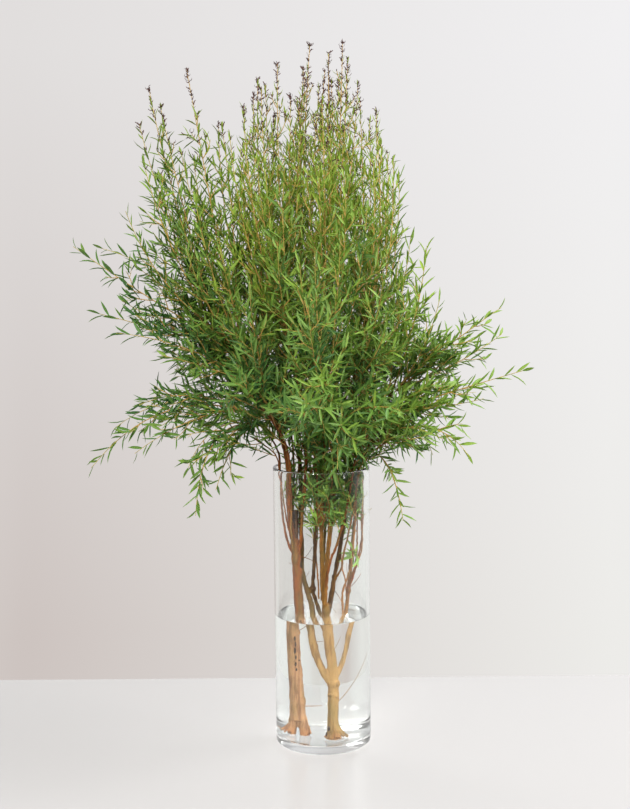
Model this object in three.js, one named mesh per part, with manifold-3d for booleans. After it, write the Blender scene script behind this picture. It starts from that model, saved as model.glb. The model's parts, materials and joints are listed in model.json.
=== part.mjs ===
// Leafy bottlebrush branches standing in water in a tall clear glass cylinder vase.
// Millimetres, +Z up. The origin is the middle of the vase's flat underside.
// The viewer stands on the -Y side, with +X to the right.

import * as THREE from 'three';
import { mergeVertices } from 'three/addons/utils/BufferGeometryUtils.js';
import Module from 'manifold-3d';

const wasm = await Module();
wasm.setup();

// Vase and water
const VASE_RADIUS = 50;
const VASE_HEIGHT = 290;
const GLASS_WALL = 3.5;
const GLASS_FLOOR = 8;
const RIM_BEVEL = 0.8;
const BASE_BEVEL = 2;
const FLOOR_FILLET = 3;
const WATER_LEVEL = 135;
const ROUND_SEGMENTS = 32;
const GAP = 0.3;
const WATER_GAP = 0.6;

// Wood
const FOOT_LEVEL = GLASS_FLOOR + GAP;
const BELOW_FOOT = 5;

// Leafy sprays: lengths in millimetres, angles in degrees
const STEM_SIDES = 3;
const STEM_STEPS = 4;
const STEM_RADIUS = 1.4;
const STEM_TIP_RADIUS = 0.7;
const SHOOT_SPACING = 15;
const SHOOT_FIRST = 0.12;
const SHOOT_LAST = 0.94;
const SHOOT_STRIDE = 3;
const SHOOT_WIDTH = 1.6;
const SHOOT_WIDEST = 0.15;
const SHOOT_ANGLE = 46;
const SHOOT_SPREAD = 0.35;
const GOLDEN_ANGLE = 137.508;
const SHOOT_WANDER = 40;
const LEAF_THICKNESS = 0.9;
const LEAF_ANGLE = 48;
const LEAF_WIDEST = 0.4;
const LEAF_SUNK = 0.4;
const LEAVES_ON_SHOOT = [0.42, 0.78];
const LEAVES_ON_STEM = [0.7, 0.82, 0.94];
const CLEARANCE = 0.35;
const SEAT_STEP = 0.15;

// Leaf size and shoot length by the part of the bush
const KINDS = {
  plume: { leaf: 12, width: 2.0, shoot: 58, rise: 0.3 },
  body: { leaf: 15, width: 2.3, shoot: 62, rise: 0.16 },
  side: { leaf: 15, width: 2.3, shoot: 50, rise: 0.1 },
  small: { leaf: 13, width: 2.2, shoot: 16, rise: 0.1 },
};

const glass = new THREE.MeshStandardMaterial({
  color: 0xe2ebe6, roughness: 0.04, metalness: 0, transparent: true, opacity: 0.3,
});
const clearWater = new THREE.MeshStandardMaterial({
  color: 0xdfe8e2, roughness: 0.03, metalness: 0, transparent: true, opacity: 0.35,
});
const redBark = new THREE.MeshStandardMaterial({ color: 0x8e5a3c, roughness: 0.8, metalness: 0 });
const ochreBark = new THREE.MeshStandardMaterial({ color: 0xa67a4a, roughness: 0.8, metalness: 0 });
const deepGreen = new THREE.MeshStandardMaterial({ color: 0x55773f, roughness: 0.6, metalness: 0 });
const freshGreen = new THREE.MeshStandardMaterial({ color: 0x6f8a48, roughness: 0.6, metalness: 0 });
const oliveGreen = new THREE.MeshStandardMaterial({ color: 0x83884f, roughness: 0.65, metalness: 0 });
const GREENS = { plume: oliveGreen, body: freshGreen, side: deepGreen, small: freshGreen };

// Limbs of each branch. A limb is a curve through points [x, y, z] with a radius at each end.
// A trunk's flare widens its first length into the foot.
const LEFT_LIMBS = {
  trunk: {
    points: [[-20, 0, 24], [-21, 0, 60], [-22.5, 0, 95], [-24, 0, 135], [-26, 0, 170], [-28, 0, 212]],
    radius: [5.4, 4.2], steps: 6, sides: 8,
  },
  toe_left: {
    points: [[-20.5, 0, 34], [-23.5, 1, 20], [-25, 1, BELOW_FOOT]],
    radius: [4.2, 3.4], steps: 2, sides: 6,
  },
  toe_right: {
    points: [[-19.5, 0, 34], [-16, -1, 20], [-14.5, -1.5, BELOW_FOOT]],
    radius: [4.6, 3.9], steps: 2, sides: 6,
  },
  stub: { points: [[-28, 0, 205], [-29, 1, 225], [-29, 2, 244]], radius: [2.7, 2.3], steps: 2, sides: 6 },
  main: {
    points: [[-27, 0, 198], [-32, -3, 228], [-34, -4, 266], [-34, -4, 290], [-41, -4, 322], [-58, -3, 365],
      [-84, -2, 405], [-106, 0, 436]],
    radius: [3.3, 1.6], steps: 9, sides: 5,
  },
  outer: {
    points: [[-27, 0, 194], [-36, 2, 211], [-42, 3, 248], [-42.5, 3, 289], [-46.5, 3, 310], [-62, 2, 332],
      [-84, 0, 350]],
    radius: [2.0, 1.3], steps: 8, sides: 4,
  },
  inner: {
    points: [[-26, -1, 188], [-22, -3, 212], [-19, -3, 258], [-16, -4, 286], [-16, -4, 330], [-22, -5, 380],
      [-33, -8, 430]],
    radius: [2.0, 1.3], steps: 7, sides: 4,
  },
  rear: {
    points: [[-27, 1, 200], [-34, 6, 235], [-36, 9, 289], [-42, 16, 330], [-54, 27, 375], [-66, 38, 420]],
    radius: [1.7, 1.2], steps: 6, sides: 4,
  },
  back: {
    points: [[-26, 2, 184], [-30, 13, 215], [-31, 22, 250], [-29, 26, 290], [-34, 42, 330], [-50, 66, 362]],
    radius: [1.9, 1.3], steps: 6, sides: 4,
  },
  front: {
    points: [[-28, -2, 207], [-33, -11, 235], [-31, -22, 287], [-37, -36, 322], [-54, -54, 352]],
    radius: [1.5, 1.2], steps: 6, sides: 4,
  },
};

const RIGHT_LIMBS = {
  trunk: {
    points: [[9, -14, BELOW_FOOT], [8, -13.5, 33], [8.5, -11.5, 60], [7.5, -10, 85], [5, -8, 112],
      [3, -8, 140]],
    radius: [5.2, 4.3], steps: 6, sides: 8, flare: 1.4,
  },
  crossing: {
    points: [[8.5, -11, 62], [-2, -9, 84], [-8, -5, 108], [-11, -1, 141], [-15, 4, 155], [-21, 9, 178],
      [-21.5, 12, 205], [-22.5, 14, 250], [-22, 16, 287], [-27, 24, 330], [-39, 42, 385], [-48, 58, 430]],
    radius: [3.4, 1.3], steps: 12, sides: 5,
  },
  right: {
    points: [[9, -10.5, 68], [16, -5, 88], [21, -1, 118], [25.5, 2, 141], [29, 3, 172], [31, 4, 200],
      [36, 5, 245], [38.5, 6, 287], [47, 6, 322], [67, 4, 354], [91, 2, 382]],
    radius: [2.8, 1.4], steps: 11, sides: 5,
  },
  dark: {
    points: [[3, -7, 118], [-5, 0, 142], [-10, 6, 160], [-8, 8, 190], [-7, 10, 236], [-6, 12, 288],
      [-8, 15, 340], [-14, 20, 400], [-20, 25, 450]],
    radius: [2.4, 1.3], steps: 9, sides: 4,
  },
  middle: {
    points: [[3, -8, 136], [0.5, -9, 165], [0, -9, 200], [0, -10, 240], [1, -11, 288], [2, -11, 340],
      [6, -10, 400], [12, -8, 460]],
    radius: [3.2, 1.4], steps: 8, sides: 5,
  },
  next: {
    points: [[3, -8, 145], [5, -7, 182], [11, -7, 239], [16, -7, 287], [22, -7, 340], [33, -5, 400],
      [44, -2, 446]],
    radius: [2.6, 1.3], steps: 7, sides: 4,
  },
  leaning: {
    points: [[3, -7, 122], [9, -3, 152], [13, 0, 175], [18, 4, 198], [23, 6, 226], [27, 9, 255],
      [30, 11, 288], [37, 20, 330], [54, 38, 372]],
    radius: [2.6, 1.3], steps: 9, sides: 4,
  },
  wall: {
    points: [[27, 2, 158], [37, 0, 190], [42.5, 0, 225], [43.6, 0, 288], [49, -4, 308], [63, -10, 324]],
    radius: [1.4, 1.1], steps: 7, sides: 4,
  },
  behind: {
    points: [[0, -6, 150], [1, 8, 180], [4, 22, 225], [5, 31, 288], [5, 44, 330], [6, 66, 366]],
    radius: [2.0, 1.3], steps: 6, sides: 4,
  },
  forward: {
    points: [[0, -10, 232], [3, -22, 286], [5, -40, 322], [5, -62, 348]],
    radius: [1.7, 1.2], steps: 4, sides: 4,
  },
};

// Leafy sprays: the limb that each grows from, how far along it, the point its stem bends towards and
// its tip.
const SPRAYS = [
  // top plume
  ['spray_top_1', 'right', 'middle', 1, [22, 2, 600], [25, 0, 716], 'plume'],
  ['spray_top_2', 'right', 'dark', 1, [-18, 34, 590], [-8, 26, 720], 'plume'],
  ['spray_top_3', 'left', 'inner', 1, [-42, -16, 560], [-40, -12, 694], 'plume'],
  ['spray_top_4', 'left', 'rear', 0.84, [-64, 16, 540], [-62, 32, 687], 'plume'],
  ['spray_top_5', 'right', 'next', 1, [48, 22, 560], [43, 34, 667], 'plume'],
  ['spray_top_6', 'right', 'next', 0.82, [70, -32, 474], [58, -16, 631], 'plume'],
  ['spray_top_7', 'right', 'middle', 0.84, [6, -58, 530], [4, -70, 649], 'plume'],
  ['spray_top_8', 'right', 'crossing', 1, [-40, 84, 560], [-19, 86, 673], 'plume'],
  ['spray_top_9', 'left', 'inner', 0.82, [-70, -46, 520], [-72, -46, 648], 'plume'],
  ['spray_top_10', 'right', 'dark', 0.8, [24, 60, 520], [14, 62, 690], 'plume'],
  // upper left plume
  ['spray_upper_left_1', 'left', 'main', 1, [-150, 6, 560], [-171, 10, 675], 'body'],
  ['spray_upper_left_2', 'left', 'main', 0.86, [-108, -16, 560], [-129, -20, 688], 'body'],
  ['spray_upper_left_3', 'left', 'rear', 1, [-104, 50, 520], [-105, 52, 646], 'body'],
  ['spray_upper_left_4', 'left', 'main', 0.94, [-150, -40, 500], [-170, -46, 597], 'body'],
  // left and lower left sprays
  ['spray_left_1', 'left', 'main', 0.9, [-165, -4, 456], [-248, -10, 517], 'side'],
  ['spray_left_2', 'left', 'rear', 0.68, [-140, 42, 462], [-233, 46, 518], 'side'],
  ['spray_left_3', 'left', 'main', 0.8, [-150, 16, 430], [-231, 6, 450], 'side'],
  ['spray_left_4', 'left', 'main', 0.7, [-130, -34, 424], [-199, -56, 431], 'side'],
  ['spray_low_left_1', 'left', 'outer', 1, [-170, -8, 372], [-234, -20, 293], 'side'],
  ['spray_low_left_2', 'left', 'outer', 0.84, [-120, -24, 350], [-127, -36, 246], 'side'],
  ['spray_low_left_3', 'left', 'back', 0.8, [-150, 52, 384], [-222, 46, 325], 'side'],
  // right and lower right sprays
  ['spray_right_1', 'right', 'leaning', 0.86, [84, 10, 480], [82, 10, 588], 'plume'],
  ['spray_right_2', 'right', 'right', 0.9, [98, -28, 430], [107, -26, 514], 'body'],
  ['spray_right_3', 'right', 'leaning', 1, [98, 62, 420], [109, 70, 469], 'body'],
  ['spray_right_4', 'right', 'right', 1, [150, -12, 430], [182, -20, 452], 'side'],
  ['spray_right_5', 'right', 'right', 0.94, [150, 34, 392], [193, 46, 423], 'side'],
  ['spray_right_6', 'right', 'right', 0.84, [150, -38, 376], [203, -46, 391], 'side'],
  ['spray_low_right_1', 'right', 'wall', 1, [118, -40, 350], [146, -56, 306], 'side'],
  ['spray_low_right_2', 'right', 'leaning', 0.74, [104, 40, 350], [119, 38, 295], 'side'],
  ['spray_low_right_3', 'right', 'wall', 0.86, [74, -18, 306], [83, -22, 236], 'small'],
  // front of the bush
  ['spray_front_1', 'left', 'inner', 0.7, [-40, -80, 500], [-31, -116, 583], 'body'],
  ['spray_front_2', 'right', 'middle', 0.7, [28, -90, 480], [24, -116, 578], 'body'],
  ['spray_front_3', 'right', 'forward', 1, [-4, -130, 440], [-4, -166, 504], 'body'],
  ['spray_front_4', 'right', 'forward', 0.9, [-8, -140, 372], [-16, -204, 374], 'body'],
  ['spray_front_5', 'right', 'forward', 0.78, [18, -90, 350], [15, -116, 304], 'side'],
  ['spray_front_6', 'right', 'next', 0.66, [60, -96, 366], [72, -140, 361], 'side'],
  ['spray_front_7', 'left', 'front', 1, [-72, -110, 386], [-77, -140, 387], 'side'],
  ['spray_front_8', 'left', 'front', 0.88, [-66, -90, 430], [-64, -122, 478], 'body'],
  ['spray_front_9', 'right', 'next', 0.74, [56, -80, 430], [58, -122, 480], 'body'],
  ['spray_front_10', 'left', 'main', 0.76, [-104, -66, 470], [-116, -88, 556], 'body'],
  // back of the bush
  ['spray_back_1', 'right', 'crossing', 0.9, [-60, 118, 474], [-54, 116, 602], 'body'],
  ['spray_back_2', 'right', 'leaning', 0.92, [40, 100, 500], [29, 120, 598], 'body'],
  ['spray_back_3', 'right', 'behind', 1, [-2, 130, 440], [-11, 170, 506], 'body'],
  ['spray_back_4', 'left', 'back', 1, [-92, 122, 410], [-110, 150, 428], 'side'],
  ['spray_back_5', 'right', 'behind', 0.9, [70, 112, 384], [92, 150, 402], 'side'],
  ['spray_back_6', 'right', 'behind', 0.78, [-10, 130, 360], [-13, 194, 342], 'side'],
  // small shoots inside the vase
  ['shoot_in_vase_1', 'right', 'right', 0.42, [33, -6, 184], [37, -9, 203], 'small'],
  ['shoot_in_vase_2', 'right', 'leaning', 0.5, [32, 14, 246], [38, 16, 272], 'small'],
  ['shoot_in_vase_3', 'right', 'dark', 0.5, [-12, 20, 244], [-12, 22, 272], 'small'],
  ['shoot_in_vase_4', 'right', 'behind', 0.5, [12, 30, 246], [18, 33, 272], 'small'],
];

// A repeatable draw between 0 and 1 from three whole numbers
function draw(a, b, c) {
  const value = Math.sin(a * 12.9898 + b * 78.233 + c * 37.719) * 43758.5453;
  return value - Math.floor(value);
}

function vector(point) {
  return new THREE.Vector3(point[0], point[1], point[2]);
}

// A closed solid of manifold-3d from a closed three.js geometry
function solid(geometry) {
  geometry.deleteAttribute('normal');
  geometry.deleteAttribute('uv');
  const merged = mergeVertices(geometry, 1e-5);
  const index = merged.index.array;
  const corners = [];
  for (let i = 0; i < index.length; i += 3) {
    const [a, b, c] = index.subarray(i, i + 3);
    if (a !== b && b !== c && c !== a) corners.push(a, b, c);
  }
  const vertProperties = new Float32Array(merged.attributes.position.array);
  return new wasm.Manifold(new wasm.Mesh({ numProp: 3, vertProperties, triVerts: new Uint32Array(corners) }));
}

// The geometry of a joined piece: its one outer body, with any hollow or scrap left by joining dropped
function geometryOf(manifold) {
  const bodies = manifold.decompose();
  const whole = bodies.reduce((best, body) => (body.volume() > best.volume() ? body : best));
  const mesh = whole.getMesh();
  const geometry = new THREE.BufferGeometry();
  geometry.setAttribute('position', new THREE.BufferAttribute(mesh.vertProperties, 3));
  geometry.setIndex(new THREE.BufferAttribute(mesh.triVerts, 1));
  geometry.computeVertexNormals();
  return geometry;
}

// A round or few-sided stick along a curve. radiusAt gives its radius from 0 at the root to 1 at the tip.
function stick(curve, steps, sides, radiusAt, pointed) {
  const rings = pointed ? steps : steps + 1;
  const profile = [new THREE.Vector2(0, 0)];
  for (let i = 0; i < rings; i += 1) profile.push(new THREE.Vector2(1, i / steps));
  profile.push(new THREE.Vector2(0, 1));
  const geometry = new THREE.LatheGeometry(profile, sides);
  const frames = curve.computeFrenetFrames(steps, false);
  const position = geometry.attributes.position;
  const corner = new THREE.Vector3();
  for (let i = 0; i < position.count; i += 1) {
    corner.fromBufferAttribute(position, i);
    const ring = Math.round(corner.y * steps);
    const along = ring / steps;
    const radius = radiusAt(along);
    const place = curve.getPointAt(along)
      .addScaledVector(frames.binormals[ring], corner.x * radius)
      .addScaledVector(frames.normals[ring], corner.z * radius);
    position.setXYZ(i, place.x, place.y, place.z);
  }
  return solid(geometry);
}

// Straight lengths through evenly spaced points of a curve
function straightLengths(curve, steps) {
  const points = curve.getSpacedPoints(steps);
  const path = new THREE.CurvePath();
  points.slice(1).forEach((point, i) => path.add(new THREE.LineCurve3(points[i], point)));
  return path;
}

function limbPath(limb) {
  const curve = new THREE.CatmullRomCurve3(limb.points.map(vector), false, 'catmullrom', 0.5);
  return straightLengths(curve, limb.steps);
}

function limbRadius(limb, along) {
  const plain = THREE.MathUtils.lerp(limb.radius[0], limb.radius[1], along);
  const flare = limb.flare ? 1 + (limb.flare - 1) * Math.max(0, 1 - along * limb.steps) : 1;
  return plain * flare;
}

// The same path with its root drawn back
function extended(path, extra) {
  const longer = new THREE.CurvePath();
  path.curves.forEach((curve) => longer.add(curve.clone()));
  const first = longer.curves[0];
  first.v1.addScaledVector(first.getTangent(0), -extra);
  return longer;
}

// A limb, or with extra thickness the room that it takes up
function limbSolid(limb, extra = 0) {
  const radius = (along) => limbRadius(limb, along) + extra;
  return stick(extended(limbPath(limb), extra), limb.steps, limb.sides, radius, false);
}

// The shoot's perpendicular direction at a turn about the stem
function sideways(tangent, turn) {
  const level = new THREE.Vector3(0, 0, 1).cross(tangent);
  if (level.length() < 0.05) level.set(1, 0, 0);
  level.normalize();
  const upward = tangent.clone().cross(level);
  return level.multiplyScalar(Math.cos(turn)).addScaledVector(upward, Math.sin(turn));
}

// A spray's stem bends in one arc to its tip, drawn as a few straight lengths. It starts at a distance
// from the middle of the limb that it grows from.
function stemPath(spray, distance) {
  const start = limbPath(LIMBS[spray.side][spray.limb]).getPointAt(spray.along);
  const bend = vector(spray.bend);
  start.addScaledVector(bend.clone().sub(start).normalize(), distance);
  return straightLengths(new THREE.QuadraticBezierCurve3(start, bend, vector(spray.tip)), STEM_STEPS);
}

function stemSolid(stem, extra = 0) {
  const radius = (along) => THREE.MathUtils.lerp(STEM_RADIUS, STEM_TIP_RADIUS, along) + extra;
  return stick(extended(stem, extra), STEM_STEPS, STEM_SIDES, radius, true);
}

// The nearest stem to its limb that keeps a hair's breadth from all the wood
function seatedStem(spray) {
  let distance = GAP;
  let stem = stemPath(spray, distance);
  while (!woods.every((wood) => wood.intersect(stemSolid(stem, GAP)).isEmpty())) {
    distance += SEAT_STEP;
    stem = stemPath(spray, distance);
  }
  return stem;
}

// The i-th side shoot of a spray, as a straight blade from the stem
function shootBlade(spray, stem, order, i, count) {
  const kind = KINDS[spray.kind];
  const along = SHOOT_FIRST + (SHOOT_LAST - SHOOT_FIRST) * (i + 0.5 * draw(order, i, 1)) / count;
  const tangent = stem.getTangentAt(along);
  const turn = THREE.MathUtils.degToRad(GOLDEN_ANGLE * i + SHOOT_WANDER * draw(order, i, 2));
  const side = sideways(tangent, turn);
  const taper = Math.min(1, 0.55 + 1.5 * along) * (1.08 - along);
  const length = kind.shoot * taper * (0.75 + 0.5 * draw(order, i, 3));
  const angle = THREE.MathUtils.degToRad(SHOOT_ANGLE);
  const leave = tangent.clone().multiplyScalar(Math.cos(angle)).addScaledVector(side, Math.sin(angle));
  const settle = tangent.clone().addScaledVector(side, SHOOT_SPREAD);
  settle.z += kind.rise;
  settle.normalize();
  const reach = leave.add(settle).multiplyScalar(length * 0.5);
  const direction = reach.clone().normalize();
  return {
    root: stem.getPointAt(along),
    direction,
    face: side,
    length: reach.length(),
    width: SHOOT_WIDTH,
    thickness: SHOOT_WIDTH,
    widest: SHOOT_WIDEST,
  };
}

// A three-sided spindle, flat above and keeled below: a narrow leaf, or a side shoot
function spindleSolid(blade) {
  const profile = [
    new THREE.Vector2(0, 0),
    new THREE.Vector2(1, blade.widest),
    new THREE.Vector2(0, 1),
  ];
  const geometry = new THREE.LatheGeometry(profile, 3);
  const across = new THREE.Vector3().crossVectors(blade.face, blade.direction).normalize();
  const keel = new THREE.Vector3().crossVectors(across, blade.direction);
  const place = new THREE.Matrix4().makeBasis(
    across.multiplyScalar(blade.width / Math.sqrt(3)),
    blade.direction.clone().multiplyScalar(blade.length),
    keel.multiplyScalar(blade.thickness / 1.5),
  );
  place.setPosition(blade.root);
  geometry.applyMatrix4(place);
  return solid(geometry);
}

function bladeLine(blade) {
  return new THREE.Line3(blade.root, blade.root.clone().addScaledVector(blade.direction, blade.length));
}

// A leaf that leaves a twig at a place on it, turned about the twig's direction by some degrees
function leafBlade(place, tangent, turn, kind) {
  const side = sideways(tangent, THREE.MathUtils.degToRad(turn));
  const angle = THREE.MathUtils.degToRad(LEAF_ANGLE);
  const direction = tangent.clone().multiplyScalar(Math.cos(angle)).addScaledVector(side, Math.sin(angle));
  return {
    root: place.clone().addScaledVector(direction, -LEAF_SUNK),
    direction,
    face: tangent.clone().multiplyScalar(-Math.sin(angle)).addScaledVector(side, Math.cos(angle)),
    length: kind.leaf,
    width: kind.width,
    thickness: LEAF_THICKNESS,
    widest: LEAF_WIDEST,
  };
}

// Room already taken, as lines with a radius and an owner, so that no spray crosses another
const taken = [];

function linesOf(curve, steps) {
  const points = curve.getSpacedPoints(steps);
  return points.slice(1).map((point, i) => new THREE.Line3(points[i], point));
}

function isClear(lines, radius, owner) {
  return lines.every((line) => !nearGlass(line, radius) && taken.every((other) => {
    if (other.owner === owner) return true;
    const room = radius + other.radius + CLEARANCE;
    return line.distanceSqToLine3(other.line) > room * room;
  }));
}

function take(lines, radius, owner) {
  lines.forEach((line) => taken.push({ line, radius, owner }));
}

// True where a line comes too near the vase's wall
function nearGlass(line, radius) {
  const room = radius + CLEARANCE;
  const inner = VASE_RADIUS - GLASS_WALL - room;
  const point = new THREE.Vector3();
  for (const t of [0, 0.25, 0.5, 0.75, 1]) {
    line.at(t, point);
    const reach = Math.hypot(point.x, point.y);
    if (point.z < VASE_HEIGHT + room && reach > inner && reach < VASE_RADIUS + room) return true;
  }
  return false;
}

// One spray: its stem with every clear side shoot of its stride and a few leaves on each
function spraySolid(spray, order) {
  const kind = KINDS[spray.kind];
  const stem = seatedStem(spray);
  let body = stemSolid(stem);
  take(linesOf(stem, STEM_STEPS), STEM_RADIUS, spray.name);
  const grow = (blade) => {
    const line = [bladeLine(blade)];
    if (!isClear(line, blade.width / 2, spray.name)) return false;
    take(line, blade.width / 2, spray.name);
    body = body.add(spindleSolid(blade));
    return true;
  };
  const count = Math.round(stem.getLength() / SHOOT_SPACING * (SHOOT_LAST - SHOOT_FIRST));
  const shoots = [];
  let next = 0;
  for (let i = 0; i < count; i += 1) {
    const shoot = shootBlade(spray, stem, order, i, count);
    if (i < next || !grow(shoot)) continue;
    shoots.push(shoot);
    next = i + SHOOT_STRIDE;
  }
  shoots.forEach((shoot, i) => LEAVES_ON_SHOOT.forEach((along, j) => {
    const place = shoot.root.clone().addScaledVector(shoot.direction, shoot.length * along);
    const turn = GOLDEN_ANGLE * j + 360 * draw(order, i, 4);
    grow(leafBlade(place, shoot.direction, turn, kind));
  }));
  LEAVES_ON_STEM.forEach((along, i) => {
    grow(leafBlade(stem.getPointAt(along), stem.getTangentAt(along), GOLDEN_ANGLE * i, kind));
  });
  return body;
}

function piece(name, body, material) {
  const mesh = new THREE.Mesh(geometryOf(body), material);
  mesh.name = name;
  return mesh;
}

// A round solid whose axis is +Z, from an outline of [radius, height] points that closes on that axis
function turned(outline) {
  const points = outline.map(([radius, height]) => new THREE.Vector2(radius, height));
  const geometry = new THREE.LatheGeometry(points, ROUND_SEGMENTS);
  geometry.rotateX(Math.PI / 2);
  return solid(geometry);
}

function vaseSolid() {
  const inner = VASE_RADIUS - GLASS_WALL;
  return turned([
    [0, 0],
    [VASE_RADIUS - BASE_BEVEL, 0],
    [VASE_RADIUS, BASE_BEVEL],
    [VASE_RADIUS, VASE_HEIGHT - RIM_BEVEL],
    [VASE_RADIUS - RIM_BEVEL, VASE_HEIGHT],
    [inner + RIM_BEVEL, VASE_HEIGHT],
    [inner, VASE_HEIGHT - RIM_BEVEL],
    [inner, GLASS_FLOOR + FLOOR_FILLET],
    [inner - FLOOR_FILLET, GLASS_FLOOR],
    [0, GLASS_FLOOR],
  ]);
}

// The water, with plain holes where the branches stand in it
function waterSolid() {
  const radius = VASE_RADIUS - GLASS_WALL - GAP;
  const block = turned([
    [0, GLASS_FLOOR + GAP],
    [radius - FLOOR_FILLET, GLASS_FLOOR + GAP],
    [radius, GLASS_FLOOR + FLOOR_FILLET + GAP],
    [radius, WATER_LEVEL],
    [0, WATER_LEVEL],
  ]);
  return [...Object.values(LEFT_LIMBS), ...Object.values(RIGHT_LIMBS)]
    .filter((limb) => limb.points[0][2] < WATER_LEVEL || limb.points.at(-1)[2] < WATER_LEVEL)
    .reduce((water, limb) => water.subtract(limbSolid(limb, WATER_GAP)), block);
}

function branchWood(limbs) {
  const floor = new THREE.BoxGeometry(2 * VASE_RADIUS, 2 * VASE_RADIUS, FOOT_LEVEL);
  floor.translate(0, 0, FOOT_LEVEL / 2);
  return Object.values(limbs).map((limb) => limbSolid(limb))
    .reduce((wood, limb) => wood.add(limb))
    .subtract(solid(floor));
}

function takeLimbs(limbs, owner) {
  Object.values(limbs).forEach((limb) => {
    linesOf(limbPath(limb), limb.steps).forEach((line, i) => {
      take([line], limbRadius(limb, i / limb.steps), owner);
    });
  });
}

const LIMBS = { left: LEFT_LIMBS, right: RIGHT_LIMBS };
const woods = [branchWood(LEFT_LIMBS), branchWood(RIGHT_LIMBS)];
takeLimbs(LEFT_LIMBS, 'branch_left');
takeLimbs(RIGHT_LIMBS, 'branch_right');
const sprays = SPRAYS.map(([name, side, limb, along, bend, tip, kind]) => (
  { name, side, limb, along, bend, tip, kind }
));

const group = new THREE.Group();
group.add(piece('vase', vaseSolid(), glass));
group.add(piece('water', waterSolid(), clearWater));
group.add(piece('branch_left', woods[0], redBark));
group.add(piece('branch_right', woods[1], ochreBark));
sprays.forEach((spray, order) => {
  group.add(piece(spray.name, spraySolid(spray, order), GREENS[spray.kind]));
});

export default group;
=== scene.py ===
"""Leafy bottlebrush branches standing in water in a tall clear glass cylinder vase.

Metres, +Z up. The origin is the middle of the vase's flat underside. The viewer stands on the -Y side,
with +X to the right. Limbs and sprays follow the solids that they replace, within a few millimetres.
"""

import json
import logging
import math
from dataclasses import dataclass, field
from enum import Enum
from typing import Any, Callable, Optional, Sequence, Union

import bpy
import numpy as np
from mathutils import Matrix, Vector

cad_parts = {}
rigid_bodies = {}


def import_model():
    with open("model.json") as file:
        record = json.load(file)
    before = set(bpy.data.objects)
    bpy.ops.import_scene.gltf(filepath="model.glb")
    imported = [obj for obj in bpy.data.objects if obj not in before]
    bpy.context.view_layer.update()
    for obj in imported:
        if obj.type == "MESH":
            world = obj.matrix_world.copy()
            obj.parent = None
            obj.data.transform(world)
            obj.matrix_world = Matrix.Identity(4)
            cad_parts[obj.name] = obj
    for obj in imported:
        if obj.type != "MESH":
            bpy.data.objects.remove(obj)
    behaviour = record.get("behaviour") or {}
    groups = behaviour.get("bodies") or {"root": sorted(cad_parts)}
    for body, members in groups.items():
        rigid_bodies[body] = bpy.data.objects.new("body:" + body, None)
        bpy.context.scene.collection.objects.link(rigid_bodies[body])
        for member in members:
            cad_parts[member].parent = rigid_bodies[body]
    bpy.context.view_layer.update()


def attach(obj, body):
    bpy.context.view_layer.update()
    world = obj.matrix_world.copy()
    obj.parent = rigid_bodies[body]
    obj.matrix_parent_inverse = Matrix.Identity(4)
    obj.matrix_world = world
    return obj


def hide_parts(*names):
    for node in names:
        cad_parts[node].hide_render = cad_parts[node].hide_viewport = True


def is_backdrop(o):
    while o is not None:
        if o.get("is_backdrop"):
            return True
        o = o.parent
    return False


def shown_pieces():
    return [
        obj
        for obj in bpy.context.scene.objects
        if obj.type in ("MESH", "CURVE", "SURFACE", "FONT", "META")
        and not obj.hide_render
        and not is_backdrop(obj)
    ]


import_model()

log = logging.getLogger("bottlebrush")

Point = tuple[float, float, float]
Colour = tuple[float, float, float, float]
Socket = bpy.types.NodeSocket
Material = bpy.types.Material
Piece = bpy.types.Object
Array = np.ndarray

BODY = "root"
SEED = 41

# Vase and water
VASE_RADIUS = 0.050
VASE_HEIGHT = 0.290
GLASS_WALL = 0.0035
GLASS_FLOOR = 0.008
FLOOR_FILLET = 0.003
WATER_LEVEL = 0.135
FOOT_LEVEL = 0.0083
BELOW_FOOT = 0.005
RIM_CLEARANCE = 0.001

# Leafy sprays
STEM_RADIUS = 0.00085
STEM_TIP_RADIUS = 0.00030
SHOOT_SPACING = 0.015
SHOOT_FIRST = 0.12
SHOOT_LAST = 0.94
SHOOT_ANGLE = math.radians(46)
SHOOT_SPREAD = 0.35
GOLDEN_ANGLE = math.radians(137.508)
SHOOT_WANDER = math.radians(40)

# Two heights this near count as one
NEAR = 1e-4


class Bark(Enum):
    """The colours of bark on the limbs, as sRGB hex."""

    RED = "80491f"
    OCHRE = "775019"
    TAN = "8f602c"
    DARK = "49331e"
    OLIVE = "5f4a1f"


class Kind(Enum):
    """The part of the bush that a spray belongs to."""

    PLUME = "plume"
    BODY = "body"
    LOOSE = "loose"
    SIDE = "side"
    SMALL = "small"


@dataclass(frozen=True)
class Habit:
    """How the sprays of one part of the bush grow.

    Lengths are in metres and angles in radians. Youth runs from 0 to 1, and dryness is 1 in the plume.
    Followers are thinner stems beside the first one, each with a reach in the given range of shares of it.
    Side shoots shorten to nothing at the share of the stem that taper gives.
    """

    leaf: float
    width: float
    shoot: float
    rise: float
    spacing: float
    leaf_angle: float
    youth: float
    dryness: float
    followers: int
    reach: tuple[float, float]
    taper: float
    slot: str


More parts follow.
